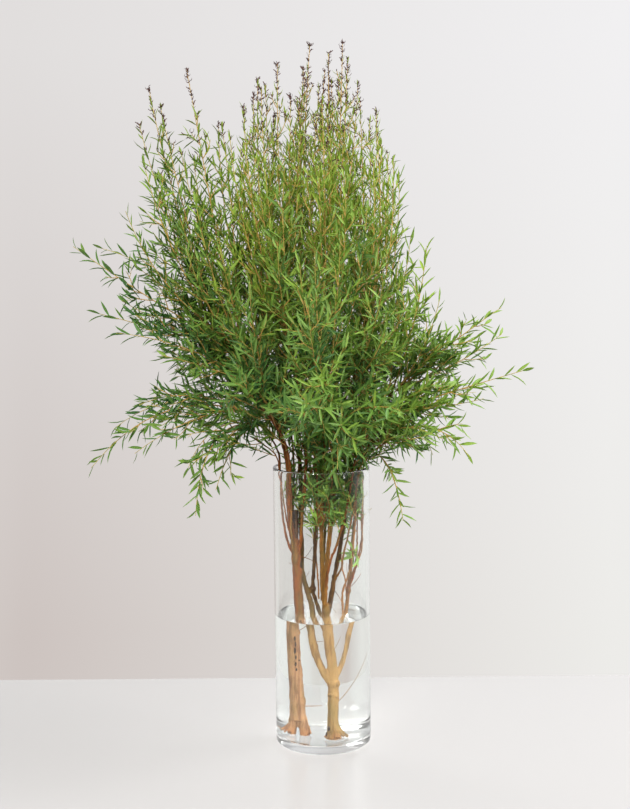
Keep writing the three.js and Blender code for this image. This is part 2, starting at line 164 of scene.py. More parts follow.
HABITS = {
    Kind.PLUME: Habit(
        leaf=0.0130, width=0.0019, shoot=0.058, rise=0.30, spacing=0.0048, leaf_angle=math.radians(36),
        youth=0.66, dryness=1.0, followers=4, reach=(0.72, 0.97), taper=1.08, slot="leaf_olive",
    ),
    Kind.BODY: Habit(
        leaf=0.0178, width=0.0027, shoot=0.062, rise=0.16, spacing=0.0053, leaf_angle=math.radians(50),
        youth=0.36, dryness=0.8, followers=3, reach=(0.55, 0.92), taper=1.06, slot="leaf_fresh",
    ),
    Kind.LOOSE: Habit(
        leaf=0.0175, width=0.0026, shoot=0.054, rise=0.16, spacing=0.0056, leaf_angle=math.radians(46),
        youth=0.40, dryness=1.4, followers=3, reach=(0.60, 0.92), taper=1.04, slot="leaf_fresh",
    ),
    Kind.SIDE: Habit(
        leaf=0.0180, width=0.0032, shoot=0.054, rise=0.10, spacing=0.0058, leaf_angle=math.radians(48),
        youth=0.26, dryness=0.0, followers=4, reach=(0.42, 0.72), taper=0.98, slot="leaf_deep",
    ),
    Kind.SMALL: Habit(
        leaf=0.0155, width=0.0027, shoot=0.018, rise=0.10, spacing=0.0027, leaf_angle=math.radians(54),
        youth=0.46, dryness=0.0, followers=0, reach=(1.0, 1.0), taper=1.08, slot="leaf_fresh",
    ),
}


def unit(vectors: Array) -> Array:
    """Scales each vector in the last axis to length 1."""
    return vectors / np.maximum(np.linalg.norm(vectors, axis=-1, keepdims=True), 1e-12)


def draw(a: int, b: int, c: int) -> float:
    """A repeatable draw between 0 and 1 from three whole numbers, the same as the solids use."""
    value = math.sin(a * 12.9898 + b * 78.233 + c * 37.719) * 43758.5453
    return value - math.floor(value)


def smooth_step(low: float, high: float, value: Union[float, Array]) -> Union[float, Array]:
    """Rises softly from 0 at low to 1 at high."""
    share = np.clip((value - low) / (high - low), 0.0, 1.0)
    return share * share * (3.0 - 2.0 * share)


def srgb(text: str) -> Colour:
    """Turns an sRGB hex colour into the linear colour that a shader takes.

    Args:
        text: six hex digits.

    Returns:
        Red, green, blue and alpha.
    """
    channels = [int(text[i : i + 2], 16) / 255.0 for i in (0, 2, 4)]
    linear = [c / 12.92 if c <= 0.04045 else ((c + 0.055) / 1.055) ** 2.4 for c in channels]
    return (linear[0], linear[1], linear[2], 1.0)


class Path:
    """A curve as closely spaced points, read by the share of its length."""

    def __init__(self, points: Sequence[Sequence[float]]) -> None:
        """Measures the curve.

        Args:
            points: the points from root to tip.
        """
        self.points = np.asarray(points, float)
        steps = np.linalg.norm(np.diff(self.points, axis=0), axis=1)
        self.reach = np.concatenate(([0.0], np.cumsum(steps)))
        self.length = float(self.reach[-1])

    @classmethod
    def through(cls, points: Sequence[Point], per_span: int = 16) -> "Path":
        """The smooth curve through some points, with even tangents of half a chord.

        Args:
            points: the points that it passes.
            per_span: how many pieces each span is drawn in.

        Returns:
            The curve.
        """
        knots = np.asarray(points, float)
        knots = np.vstack([2 * knots[0] - knots[1], knots, 2 * knots[-1] - knots[-2]])
        slopes = (knots[2:] - knots[:-2]) / 2
        t = np.linspace(0, 1, per_span, endpoint=False)[:, None]
        spans = []
        for i in range(1, len(knots) - 2):
            a, b, m, n = knots[i], knots[i + 1], slopes[i - 1], slopes[i]
            spans.append(
                (2 * t**3 - 3 * t**2 + 1) * a
                + (t**3 - 2 * t**2 + t) * m
                + (3 * t**2 - 2 * t**3) * b
                + (t**3 - t**2) * n
            )
        return cls(np.vstack([*spans, knots[-2]]))

    @classmethod
    def arc(cls, start: Array, bend: Array, end: Array, pieces: int = 24) -> "Path":
        """One bend from start to end, drawn towards the bend point."""
        t = np.linspace(0, 1, pieces + 1)[:, None]
        return cls((1 - t) ** 2 * start + 2 * t * (1 - t) * bend + t**2 * end)

    def at(self, share: Union[float, Array]) -> Array:
        """Points at shares of the length, one row each."""
        places = np.atleast_1d(share) * self.length
        return np.stack([np.interp(places, self.reach, self.points[:, k]) for k in range(3)], axis=-1)

    def heading(self, share: Union[float, Array]) -> Array:
        """Unit directions of the curve at shares of the length, one row each."""
        share = np.atleast_1d(share)
        return unit(self.at(np.minimum(share + 0.03, 1.0)) - self.at(np.maximum(share - 0.03, 0.0)))


def sideways(headings: Array, turns: Array) -> Array:
    """Directions square to each heading, at a turn about it that starts level.

    Args:
        headings: unit directions, one row each.
        turns: angles in radians.

    Returns:
        Unit directions, one row each.
    """
    level = np.cross(np.array([0.0, 0.0, 1.0]), headings)
    flat = np.linalg.norm(level, axis=-1) < 0.05
    level[flat] = (1.0, 0.0, 0.0)
    level = unit(level)
    upward = np.cross(headings, level)
    return level * np.cos(turns)[:, None] + upward * np.sin(turns)[:, None]


def deselect_all() -> None:
    """Leaves every object unselected, the frame's nodes too."""
    for item in bpy.context.scene.objects:
        item.select_set(False)


def take_up(piece: Piece) -> None:
    """Makes a piece the only selected object and the active one.

    Args:
        piece: the object.
    """
    deselect_all()
    piece.select_set(True)
    bpy.context.view_layer.objects.active = piece


def unselect_mesh(mesh: bpy.types.Mesh) -> None:
    """Leaves every face, edge and point of a mesh unselected, in object mode."""
    for part in (mesh.polygons, mesh.edges, mesh.vertices):
        part.foreach_set("select", [False] * len(part))


def select_points(piece: Piece, wanted: Callable[[Vector], bool], within: bool = False) -> None:
    """Selects points of a mesh in edit mode by their place.

    Args:
        piece: the object in edit mode.
        wanted: says whether a point is wanted.
        within: keeps only points that are selected already.
    """
    bpy.ops.object.mode_set(mode="OBJECT")
    kept = {v.index for v in piece.data.vertices if v.select}
    unselect_mesh(piece.data)
    for v in piece.data.vertices:
        v.select = (not within or v.index in kept) and wanted(v.co)
    bpy.ops.object.mode_set(mode="EDIT")
    bpy.ops.mesh.select_mode(type="VERT")


def select_faces(piece: Piece, wanted: Callable[[bpy.types.MeshPolygon], bool]) -> None:
    """Selects faces of a mesh in edit mode by their place or normal.

    Args:
        piece: the object in edit mode.
        wanted: says whether a face is wanted.
    """
    bpy.ops.object.mode_set(mode="OBJECT")
    unselect_mesh(piece.data)
    for face in piece.data.polygons:
        face.select = wanted(face)
    bpy.ops.object.mode_set(mode="EDIT")
    bpy.ops.mesh.select_mode(type="FACE")


def select_ring(piece: Piece, height: float, radius: float) -> None:
    """Selects the edges of a ring round the Z axis in edit mode.

    Args:
        piece: the object in edit mode.
        height: the ring's height.
        radius: the ring's radius.
    """
    near = 1e-5
    bpy.ops.object.mode_set(mode="OBJECT")
    mesh = piece.data
    unselect_mesh(mesh)
    on_ring = [abs(v.co.z - height) < near and abs(v.co.xy.length - radius) < near for v in mesh.vertices]
    for edge in mesh.edges:
        edge.select = on_ring[edge.vertices[0]] and on_ring[edge.vertices[1]]
    bpy.ops.object.mode_set(mode="EDIT")
    bpy.ops.mesh.select_mode(type="EDGE")


def apply_modifier(piece: Piece, kind: str, **settings: Any) -> None:
    """Adds a modifier to a piece and applies it.

    Args:
        piece: the object.
        kind: the modifier's type.
        settings: its values.
    """
    take_up(piece)
    modifier = piece.modifiers.new(kind.lower(), kind)
    for name, value in settings.items():
        setattr(modifier, name, value)
    bpy.ops.object.modifier_apply(modifier=modifier.name)


def settle(piece: Piece, slot: Optional[str], *nodes: str) -> None:
    """Rides a finished piece on the one body, hides the frame's nodes that it replaces and logs its
    triangles.

    Args:
        piece: the finished object.
        slot: the record's material slot; not used.
        nodes: the frame's nodes that it replaces.
    """
    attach(piece, BODY)
    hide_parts(*nodes)
    piece.data.calc_loop_triangles()
    log.info("%s: %d triangles", piece.name, len(piece.data.loop_triangles))


class Recipe:
    """The node tree of a material or of the surround, put together node by node."""

    def __init__(self, owner: Union[Material, bpy.types.World], output: str = "Material") -> None:
        """Empties the owner's node tree and gives it an output.

        Args:
            owner: the material or the world.
            output: the output's kind.
        """
        owner.use_nodes = True
        self.owner = owner
        self.tree = owner.node_tree
        self.tree.nodes.clear()
        self.output = self.tree.nodes.new("ShaderNodeOutput" + output)

    @classmethod
    def material(cls, name: str) -> "Recipe":
        """Starts a new material."""
        return cls(bpy.data.materials.new(name))

    def node(self, kind: str, inputs: Optional[dict] = None, **settings: Any) -> bpy.types.Node:
        """Adds a node.

        Args:
            kind: the node's type.
            inputs: values or sockets for its inputs, by name or number.
            settings: the node's own properties.

        Returns:
            The node.
        """
        node = self.tree.nodes.new(kind)
        for name, value in settings.items():
            setattr(node, name, value)
        for name, value in (inputs or {}).items():
            if isinstance(value, Socket):
                self.tree.links.new(value, node.inputs[name])
            else:
                node.inputs[name].default_value = value
        return node

    def attribute(self, name: str, output: str = "Fac") -> Socket:
        """One of the mesh's own numbers or colours."""
        return self.node("ShaderNodeAttribute", attribute_name=name).outputs[output]

    def place(self, stretch: Point = (1.0, 1.0, 1.0)) -> Socket:
        """Object coordinates, scaled along each axis."""
        coordinates = self.node("ShaderNodeTexCoord").outputs["Object"]
        return self.node("ShaderNodeMapping", {"Vector": coordinates, "Scale": stretch}).outputs[0]

    def noise(self, scale: float, detail: float = 2.0, stretch: Point = (1.0, 1.0, 1.0)) -> Socket:
        """Soft noise from 0 to 1 over the piece's own coordinates."""
        inputs = {"Vector": self.place(stretch), "Scale": scale, "Detail": detail}
        return self.node("ShaderNodeTexNoise", inputs).outputs["Fac"]

    def math(self, operation: str, first: Any, second: Any = 0.0, third: float = 0.0) -> Socket:
        """One sum on numbers."""
        return self.node("ShaderNodeMath", {0: first, 1: second, 2: third}, operation=operation).outputs[0]

    def between(self, value: Socket, low: float, high: float, ramp: str = "SMOOTHSTEP") -> Socket:
        """A number carried from a range to 0 to 1, softly or evenly."""
        inputs = {"Value": value, "From Min": low, "From Max": high}
        return self.node("ShaderNodeMapRange", inputs, interpolation_type=ramp).outputs["Result"]

    def mix(self, factor: Any, first: Any, second: Any) -> Socket:
        """One colour mixed with another."""
        return self.node("ShaderNodeMix", {0: factor, 6: first, 7: second}, data_type="RGBA").outputs[2]

    def bump(self, height: Socket, distance: float, strength: float = 1.0) -> Socket:
        """A normal tilted by a height."""
        inputs = {"Height": height, "Distance": distance, "Strength": strength}
        return self.node("ShaderNodeBump", inputs).outputs["Normal"]

    def principled(self, **inputs: Any) -> Socket:
        """The surface shader, with underscores for the blanks in its sockets' names."""
        named = {name.replace("_", " "): value for name, value in inputs.items()}
        return self.node("ShaderNodeBsdfPrincipled", named).outputs[0]

    def finish(self, surface: Socket) -> Union[Material, bpy.types.World]:
        """Joins a shader to the output and returns the material or the world."""
        self.tree.links.new(surface, self.output.inputs["Surface"])
        return self.owner


@dataclass(frozen=True)
class LeafFinish:
    """Matt green leaves with a paler midrib, yellower when young and olive when dry."""

    mature: str = "5b943e"
    deep: str = "366b3c"
    young: str = "9cbb38"
    dry: str = "90883a"
    rib: str = "a8be72"
    roughness: float = 0.50
    gloss: float = 0.4
    glow: float = 0.20
    mottling: float = 0.25
    rib_strength: float = 0.35

    def material(self) -> Material:
        """Builds the leaves' material from the mesh's tint, youth, dryness and place across.

        Returns:
            The material.
        """
        recipe = Recipe.material("leaf_green")
        # The mesh's tint also carries painted shade deep inside the bush.
        tint = recipe.attribute("tint")
        green = recipe.mix(tint, srgb(self.deep), srgb(self.mature))
        # The mesh's youth also carries painted light and shade by the leaves' place.
        green = recipe.mix(recipe.attribute("youth"), green, srgb(self.young))
        green = recipe.mix(recipe.attribute("dryness"), green, srgb(self.dry))
        mottle = recipe.between(recipe.noise(900.0, 2.0), 0.3, 0.7)
        green = recipe.mix(recipe.math("MULTIPLY", mottle, self.mottling), green, srgb(self.deep))
        middle = recipe.math("ABSOLUTE", recipe.attribute("across"))
        rib = recipe.math("MULTIPLY", recipe.between(middle, 0.30, 0.05), self.rib_strength)
        green = recipe.mix(rib, green, srgb(self.rib))
        surface = recipe.principled(
            Base_Color=green,
            Roughness=self.roughness,
            Specular_IOR_Level=self.gloss,
            Normal=recipe.bump(middle, 0.0003, 0.4),
        )
        through = recipe.node("ShaderNodeBsdfTranslucent", {"Color": green}).outputs[0]
        mixed = recipe.node("ShaderNodeMixShader", {0: self.glow, 1: surface, 2: through}).outputs[0]
        return recipe.finish(mixed)


@dataclass(frozen=True)
class TwigFinish:
    """Thin twigs: red-brown where woody, then pinkish tan, and yellow-green near the tips."""

    woody: str = "8a5f34"
    tan: str = "c9a052"
    green: str = "b9b052"
    pale: str = "bfa25c"
    grain: float = 0.3
    roughness: float = 0.7

    def material(self) -> Material:
        """Builds the twigs' material from the mesh's youth and dryness.

        Returns:
            The material.
        """
        recipe = Recipe.material("twig_bark")
        youth = recipe.attribute("youth")
        colour = recipe.mix(recipe.between(youth, 0.0, 0.45), srgb(self.woody), srgb(self.tan))
        colour = recipe.mix(recipe.between(youth, 0.45, 1.0), colour, srgb(self.green))
        colour = recipe.mix(recipe.attribute("dryness"), colour, srgb(self.pale))
        grain = recipe.noise(1200.0, 3.0, (1.0, 1.0, 0.3))
        colour = recipe.mix(recipe.math("MULTIPLY", grain, self.grain), colour, srgb(self.woody))
        surface = recipe.principled(
            Base_Color=colour, Roughness=self.roughness, Normal=recipe.bump(grain, 0.0004, 0.5)
        )
        return recipe.finish(surface)


@dataclass(frozen=True)
class BudFinish:
    """Withered buds and flower scraps, dark purple-brown."""

    dark: str = "331d1e"
    light: str = "74504a"
    roughness: float = 0.8

    def material(self) -> Material:
        """Builds the buds' material.

        Returns:
            The material.
        """
        recipe = Recipe.material("bud_withered")
        mottle = recipe.noise(1500.0, 3.0)
        colour = recipe.mix(recipe.between(mottle, 0.35, 0.7), srgb(self.dark), srgb(self.light))
        surface = recipe.principled(
            Base_Color=colour, Roughness=self.roughness, Normal=recipe.bump(mottle, 0.0004)
        )
        return recipe.finish(surface)


@dataclass(frozen=True)
class BarkFinish:
    """Smooth thin bark with lengthwise streaks, small dark lenticels and olive stains."""

    name: str
    streak: str = "5c3a26"
    stain: str = "6a6032"
    fleck: str = "2e2018"
    roughness: float = 0.62
    streak_roughness: float = 0.2
    gloss: float = 0.2
    relief: float = 0.0014

    def material(self) -> Material:
        """Builds the bark from the mesh's own colour.

        Returns:
            The material.
        """
        recipe = Recipe.material(self.name)
        base = recipe.attribute("bark", "Color")
        streaks = recipe.noise(330.0, 5.0, (1.0, 1.0, 0.10))
        patches = recipe.noise(70.0, 3.0, (1.0, 1.0, 0.35))
        flecks = recipe.noise(1500.0, 2.0, (1.0, 1.0, 0.5))
        colour = recipe.mix(
            recipe.math("MULTIPLY", recipe.between(streaks, 0.48, 0.62), 0.6), base, srgb(self.streak)
        )
        colour = recipe.mix(
            recipe.math("MULTIPLY", recipe.between(patches, 0.50, 0.68), 0.5), colour, srgb(self.stain)
        )
        colour = recipe.mix(
            recipe.math("MULTIPLY", recipe.between(flecks, 0.64, 0.72), 0.6), colour, srgb(self.fleck)
        )
        rough = recipe.math("MULTIPLY_ADD", streaks, self.streak_roughness, self.roughness)
        height = recipe.math("ADD", streaks, recipe.math("MULTIPLY", flecks, 0.5))
        surface = recipe.principled(
            Base_Color=colour, Roughness=rough, Specular_IOR_Level=self.gloss,
            Normal=recipe.bump(height, self.relief),
        )
        return recipe.finish(surface)


@dataclass(frozen=True)
class HollowFinish:
    """The dark wood given to the faces inside the broken stub's hollow, and to the scars."""

    dark: str = "1d130c"
    light: str = "3a2818"
    roughness: float = 0.9

    def material(self) -> Material:
        """Builds the dark wood.

        Returns:
            The material.
        """
        recipe = Recipe.material("wood_dark")
        grain = recipe.noise(800.0, 3.0)
        surface = recipe.principled(
            Base_Color=recipe.mix(grain, srgb(self.dark), srgb(self.light)), Roughness=self.roughness
        )
        return recipe.finish(surface)


@dataclass(frozen=True)
class ClearFinish:
    """Clear glass or water, which lets a share of the lamps' light through to what stands behind it."""

    name: str
    tint: str
    bend: float
    passed: float

    def material(self) -> Material:
        """Builds the clear material with its refraction.

        Returns:
            The material.
        """
        recipe = Recipe.material(self.name)
        surface = recipe.principled(
            Base_Color=srgb(self.tint), Roughness=0.0, IOR=self.bend, Transmission_Weight=1.0
        )
        lamp = recipe.node("ShaderNodeBsdfTransparent", {"Color": (*[self.passed] * 3, 1.0)}).outputs[0]
        is_shadow = recipe.node("ShaderNodeLightPath").outputs["Is Shadow Ray"]
        return recipe.finish(
            recipe.node("ShaderNodeMixShader", {0: is_shadow, 1: surface, 2: lamp}).outputs[0]
        )


@dataclass(frozen=True)
class TableFinish:
    """A smooth pale table."""

    colour: str = "b5b4b4"
    roughness: float = 0.22
    haze: float = 0.06
    gloss: float = 0.3

    def material(self) -> Material:
        """Builds the table's finish.

        Returns:
            The material.
        """
        recipe = Recipe.material("table_pale")
        rough = recipe.math("MULTIPLY_ADD", recipe.noise(6.0, 2.0), self.haze, self.roughness)
        return recipe.finish(
            recipe.principled(Base_Color=srgb(self.colour), Roughness=rough, Specular_IOR_Level=self.gloss)
        )


@dataclass
class Pattern:
    """A small shape modelled once, as triangles, with its own numbers at each point."""

    points: Array
    faces: Array
    numbers: dict[str, Array] = field(default_factory=dict)

    @classmethod
    def take(cls, piece: Piece) -> "Pattern":
        """Reads a modelled object as triangles and removes it.

        Args:
            piece: the modelled object.

        Returns:
            The pattern.
        """
        bpy.ops.object.mode_set(mode="OBJECT")
        apply_modifier(piece, "TRIANGULATE")
        mesh = piece.data
        points = np.empty(len(mesh.vertices) * 3)
        mesh.vertices.foreach_get("co", points)
        faces = np.array([tuple(face.vertices) for face in mesh.polygons])
        bpy.data.objects.remove(piece)
        return cls(points.reshape(-1, 3), faces)


@dataclass(frozen=True)
class LeafRow:
    """One row across a leaf: how far along it, its share of the full width, and its rise by the arch."""

    along: float
    width: float
    arch: float


@dataclass
class LeafShape:
    """A narrow leaf of unit length and width: a blade folded along its midrib and arched."""

    rows: tuple[LeafRow, ...]
    fold: float = 0.030
    thickness: float = 0.016

    def build(self) -> Pattern:
        """Models the leaf from a grid, row by row, and closes it with its underside.

        Returns:
            The leaf, which leaves its twig along +Y with its face up.
        """
        deselect_all()
        spans = len(self.rows) - 1
        bpy.ops.mesh.primitive_grid_add(
            x_subdivisions=2, y_subdivisions=spans, size=1.0, location=(0, 0.5, 0)
        )
        leaf = bpy.context.active_object
        bpy.ops.object.transform_apply(location=True)
        bpy.ops.object.mode_set(mode="EDIT")
        for i in reversed(range(len(self.rows))):
            self.place_row(leaf, i / spans, self.rows[i])
        select_points(leaf, lambda co: abs(co.x) < NEAR and self.inside(co.y))
        bpy.ops.transform.translate(value=(0, 0, -self.fold))
        bpy.ops.mesh.select_all(action="SELECT")
        bpy.ops.mesh.duplicate()
        bpy.ops.mesh.flip_normals()
        select_points(leaf, lambda co: abs(co.x) < NEAR and self.inside(co.y), within=True)
        bpy.ops.transform.translate(value=(0, 0, -self.thickness))
        bpy.ops.mesh.select_all(action="SELECT")
        bpy.ops.mesh.remove_doubles(threshold=1e-5)
        bpy.ops.mesh.normals_make_consistent(inside=False)
        pattern = Pattern.take(leaf)
        half = np.interp(pattern.points[:, 1], [r.along for r in self.rows], [r.width / 2 for r in self.rows])
        pattern.numbers["across"] = np.clip(pattern.points[:, 0] / np.maximum(half, 1e-6), -1, 1)
        return pattern

    def inside(self, along: float) -> bool:
        """True between the leaf's foot and its tip."""
        return self.rows[0].along + NEAR < along < self.rows[-1].along - NEAR

    def place_row(self, leaf: Piece, start: float, row: LeafRow) -> None:
        """Moves one row of the grid to its place, draws it in to its width, and closes it at the ends.

        Args:
            leaf: the grid in edit mode.
            start: how far along the row lies now.
            row: where it belongs.
        """
        select_points(leaf, lambda co: abs(co.y - start) < NEAR)
        bpy.ops.transform.translate(value=(0, row.along - start, row.arch))
        if row.width > 0:
            bpy.ops.transform.resize(value=(row.width, 1, 1), center_override=(0, row.along, row.arch))
        else:
            bpy.ops.mesh.merge(type="CENTER")


@dataclass
class TwigShape:
    """A straight round twig of unit length and radius, closed at both ends."""

    sides: int
    rings: int

    def build(self) -> Pattern:
        """Models the twig as a filled circle drawn up ring by ring.

        Returns:
            The twig along +Z.
        """
        deselect_all()
        bpy.ops.mesh.primitive_circle_add(vertices=self.sides, radius=1.0, fill_type="TRIFAN")
        twig = bpy.context.active_object
        bpy.ops.object.mode_set(mode="EDIT")
        bpy.ops.mesh.select_all(action="SELECT")
        for _ in range(self.rings):
            bpy.ops.mesh.extrude_region_move(TRANSFORM_OT_translate={"value": (0, 0, 1 / self.rings)})
        bpy.ops.mesh.select_all(action="SELECT")
        bpy.ops.mesh.normals_make_consistent(inside=False)
        return Pattern.take(twig)


@dataclass
class BudShape:
    """A small withered bud, pinched towards its tip."""

    width: float = 0.46

    def build(self) -> Pattern:
        """Models the bud from a ball of a few faces.

        Returns:
            The bud along +Y from its foot.
        """
        deselect_all()
        bpy.ops.mesh.primitive_ico_sphere_add(subdivisions=1, radius=0.5, location=(0, 0.45, 0))
        bud = bpy.context.active_object
        bpy.ops.object.transform_apply(location=True)
        bpy.ops.object.mode_set(mode="EDIT")
        bpy.ops.mesh.select_all(action="SELECT")
        bpy.ops.transform.resize(value=(self.width, 1.0, self.width), center_override=(0, 0, 0))
        select_points(bud, lambda co: co.y > 0.6)
        bpy.ops.transform.resize(value=(0.5, 1.15, 0.6), center_override=(0.08, 0.5, 0.05))
        return Pattern.take(bud)


NUMBERS = ("across", "tint", "youth", "dryness")
LEAF, TWIG, BUD = range(3)


class Heap:
    """Many copies of patterns, gathered into one mesh."""

    def __init__(self) -> None:
        """Starts with nothing."""
        self.points: list[Array] = []
        self.faces: list[Array] = []
        self.finishes: list[Array] = []
        self.numbers: dict[str, list[Array]] = {name: [] for name in NUMBERS}
        self.size = 0

    def add(self, points: Array, faces: Array, finish: int, **numbers: Any) -> None:
        """Adds copies of one shape.

        Args:
            points: copies by points by 3.
            faces: the shape's triangles.
            finish: which of the mesh's materials they take.
            numbers: values that spread over copies by points.
        """
        copies, size = points.shape[:2]
        starts = self.size + size * np.arange(copies)
        self.points.append(points.reshape(-1, 3))
        self.faces.append((faces[None] + starts[:, None, None]).reshape(-1, 3))
        self.finishes.append(np.full(copies * len(faces), finish))
        for name, values in self.numbers.items():
            values.append(np.broadcast_to(numbers.get(name, 0.0), (copies, size)).reshape(-1))
        self.size += copies * size

    def mesh(self, name: str, materials: Sequence[Material]) -> Piece:
        """Makes the object.

        Args:
            name: the piece's name.
            materials: its materials, in the order of the finishes.

        Returns:
            The object, in the scene.
        """
        points, faces = np.vstack(self.points), np.vstack(self.faces)
        mesh = bpy.data.meshes.new(name)
        mesh.vertices.add(len(points))
        mesh.vertices.foreach_set("co", points.astype(np.float32).ravel())
        mesh.loops.add(faces.size)
        mesh.loops.foreach_set("vertex_index", faces.astype(np.int32).ravel())
        mesh.polygons.add(len(faces))
        mesh.polygons.foreach_set("loop_start", np.arange(0, faces.size, 3, dtype=np.int32))
        mesh.polygons.foreach_set("material_index", np.concatenate(self.finishes).astype(np.int32))
        mesh.update(calc_edges=True)
        for key, values in self.numbers.items():
            layer = mesh.attributes.new(key, "FLOAT", "POINT")
            layer.data.foreach_set("value", np.concatenate(values).astype(np.float32))
        for material in materials:
            mesh.materials.append(material)
        piece = bpy.data.objects.new(name, mesh)
        bpy.context.scene.collection.objects.link(piece)
        take_up(piece)
        bpy.ops.object.shade_smooth_by_angle(angle=math.radians(80))
        return piece


@dataclass(frozen=True)
class Limb:
    """One limb of a branch: a curve through points, with a radius at its root and its tip.

    Leafy shoots grow on it above the height at which it turns leafy.
    """

    name: str
    points: tuple[Point, ...]
    radius: tuple[float, float]
    bark: Bark
    leafy_from: float = 0.228
    flare: float = 1.0
    flare_reach: float = 0.17

    def path(self) -> Path:
        """The limb's middle line."""
        return Path.through(self.points)

    def radii(self, shares: Array) -> Array:
        """The radius at shares of the length, wider in the foot of a flared trunk."""
        plain = self.radius[0] + (self.radius[1] - self.radius[0]) * shares
        return plain * (1 + (self.flare - 1) * np.clip(1 - shares / self.flare_reach, 0, 1))


LEFT_LIMBS = (
    Limb("trunk", ((-0.020, 0, 0.024), (-0.021, 0, 0.060), (-0.0225, 0, 0.095), (-0.024, 0, 0.135),
         (-0.026, 0, 0.170), (-0.028, 0, 0.212)), (0.0063, 0.0042), Bark.RED),
    Limb("toe_left", ((-0.0205, 0, 0.034), (-0.0235, 0.001, 0.020), (-0.025, 0.001, BELOW_FOOT)),
         (0.0042, 0.0034), Bark.TAN),
    Limb("toe_right", ((-0.0195, 0, 0.034), (-0.016, -0.001, 0.020), (-0.0145, -0.0015, BELOW_FOOT)),
         (0.0046, 0.0039), Bark.TAN),
    Limb("stub", ((-0.0275, 0, 0.203), (-0.0275, 0.001, 0.225), (-0.0275, 0.002, 0.244)),
         (0.0034, 0.0028), Bark.DARK, leafy_from=1.0),
    Limb("main", ((-0.027, 0, 0.198), (-0.032, -0.003, 0.228), (-0.034, -0.004, 0.266),
         (-0.034, -0.004, 0.290), (-0.041, -0.004, 0.322), (-0.058, -0.003, 0.365),
         (-0.084, -0.002, 0.405), (-0.106, 0, 0.436)), (0.0031, 0.0013), Bark.RED, leafy_from=0.312),
)

LEFT_TWIGS = (
    Limb("outer", ((-0.027, 0, 0.194), (-0.036, 0.002, 0.211), (-0.042, 0.003, 0.248),
         (-0.0425, 0.003, 0.289), (-0.0465, 0.003, 0.310), (-0.062, 0.002, 0.332), (-0.084, 0, 0.350)),
         (0.0015, 0.0008), Bark.RED, leafy_from=0.312),
    Limb("inner", ((-0.026, -0.001, 0.188), (-0.022, -0.003, 0.212), (-0.019, -0.003, 0.258),
         (-0.016, -0.004, 0.286), (-0.016, -0.004, 0.330), (-0.022, -0.005, 0.380), (-0.033, -0.008, 0.430)),
         (0.0018, 0.0010), Bark.RED, leafy_from=0.308),
    Limb("rear", ((-0.027, 0.001, 0.200), (-0.034, 0.006, 0.235), (-0.036, 0.009, 0.289),
         (-0.042, 0.016, 0.330), (-0.054, 0.027, 0.375), (-0.066, 0.038, 0.420)),
         (0.0014, 0.0009), Bark.RED, leafy_from=0.308),
    Limb("back", ((-0.026, 0.002, 0.184), (-0.030, 0.013, 0.215), (-0.031, 0.022, 0.250),
         (-0.029, 0.026, 0.290), (-0.034, 0.042, 0.330), (-0.050, 0.066, 0.362)),
         (0.0016, 0.0010), Bark.OLIVE, leafy_from=0.300),
    Limb("front", ((-0.028, -0.002, 0.207), (-0.033, -0.011, 0.235), (-0.031, -0.022, 0.287),
         (-0.037, -0.036, 0.322), (-0.054, -0.054, 0.352)), (0.0013, 0.0009), Bark.RED, leafy_from=0.312),
    Limb("left_edge", ((-0.0300, -0.001, 0.206), (-0.0348, -0.008, 0.230), (-0.0388, -0.012, 0.259),
         (-0.0423, -0.014, 0.284), (-0.047, -0.016, 0.305), (-0.068, -0.020, 0.322)),
         (0.0009, 0.0006), Bark.RED, leafy_from=0.302),
    Limb("left_pale", ((-0.0290, -0.002, 0.196), (-0.0312, -0.010, 0.224), (-0.0306, -0.015, 0.259),
         (-0.0315, -0.017, 0.282), (-0.034, -0.022, 0.305), (-0.042, -0.034, 0.345)),
         (0.0012, 0.0008), Bark.TAN, leafy_from=0.315),
    Limb("left_cross", ((-0.0255, 0.002, 0.206), (-0.0284, 0.008, 0.230), (-0.0300, 0.010, 0.245),
         (-0.0254, 0.009, 0.278), (-0.020, 0.010, 0.305), (-0.014, 0.018, 0.360)),
         (0.0011, 0.0007), Bark.TAN, leafy_from=0.238),
    Limb("left_thin", ((-0.0330, 0.004, 0.226), (-0.0312, 0.012, 0.248), (-0.0298, 0.014, 0.271),
         (-0.0289, 0.015, 0.288), (-0.032, 0.022, 0.320), (-0.052, 0.034, 0.350)),
         (0.0008, 0.0006), Bark.RED, leafy_from=0.295),
    Limb("left_lean", ((-0.0215, -0.003, 0.218), (-0.0183, -0.012, 0.255), (-0.0153, -0.014, 0.270),
         (-0.0128, -0.015, 0.280), (-0.0084, -0.016, 0.292), (-0.002, -0.022, 0.318), (0.006, -0.044, 0.350)),
         (0.0009, 0.0006), Bark.TAN, leafy_from=0.300),
)

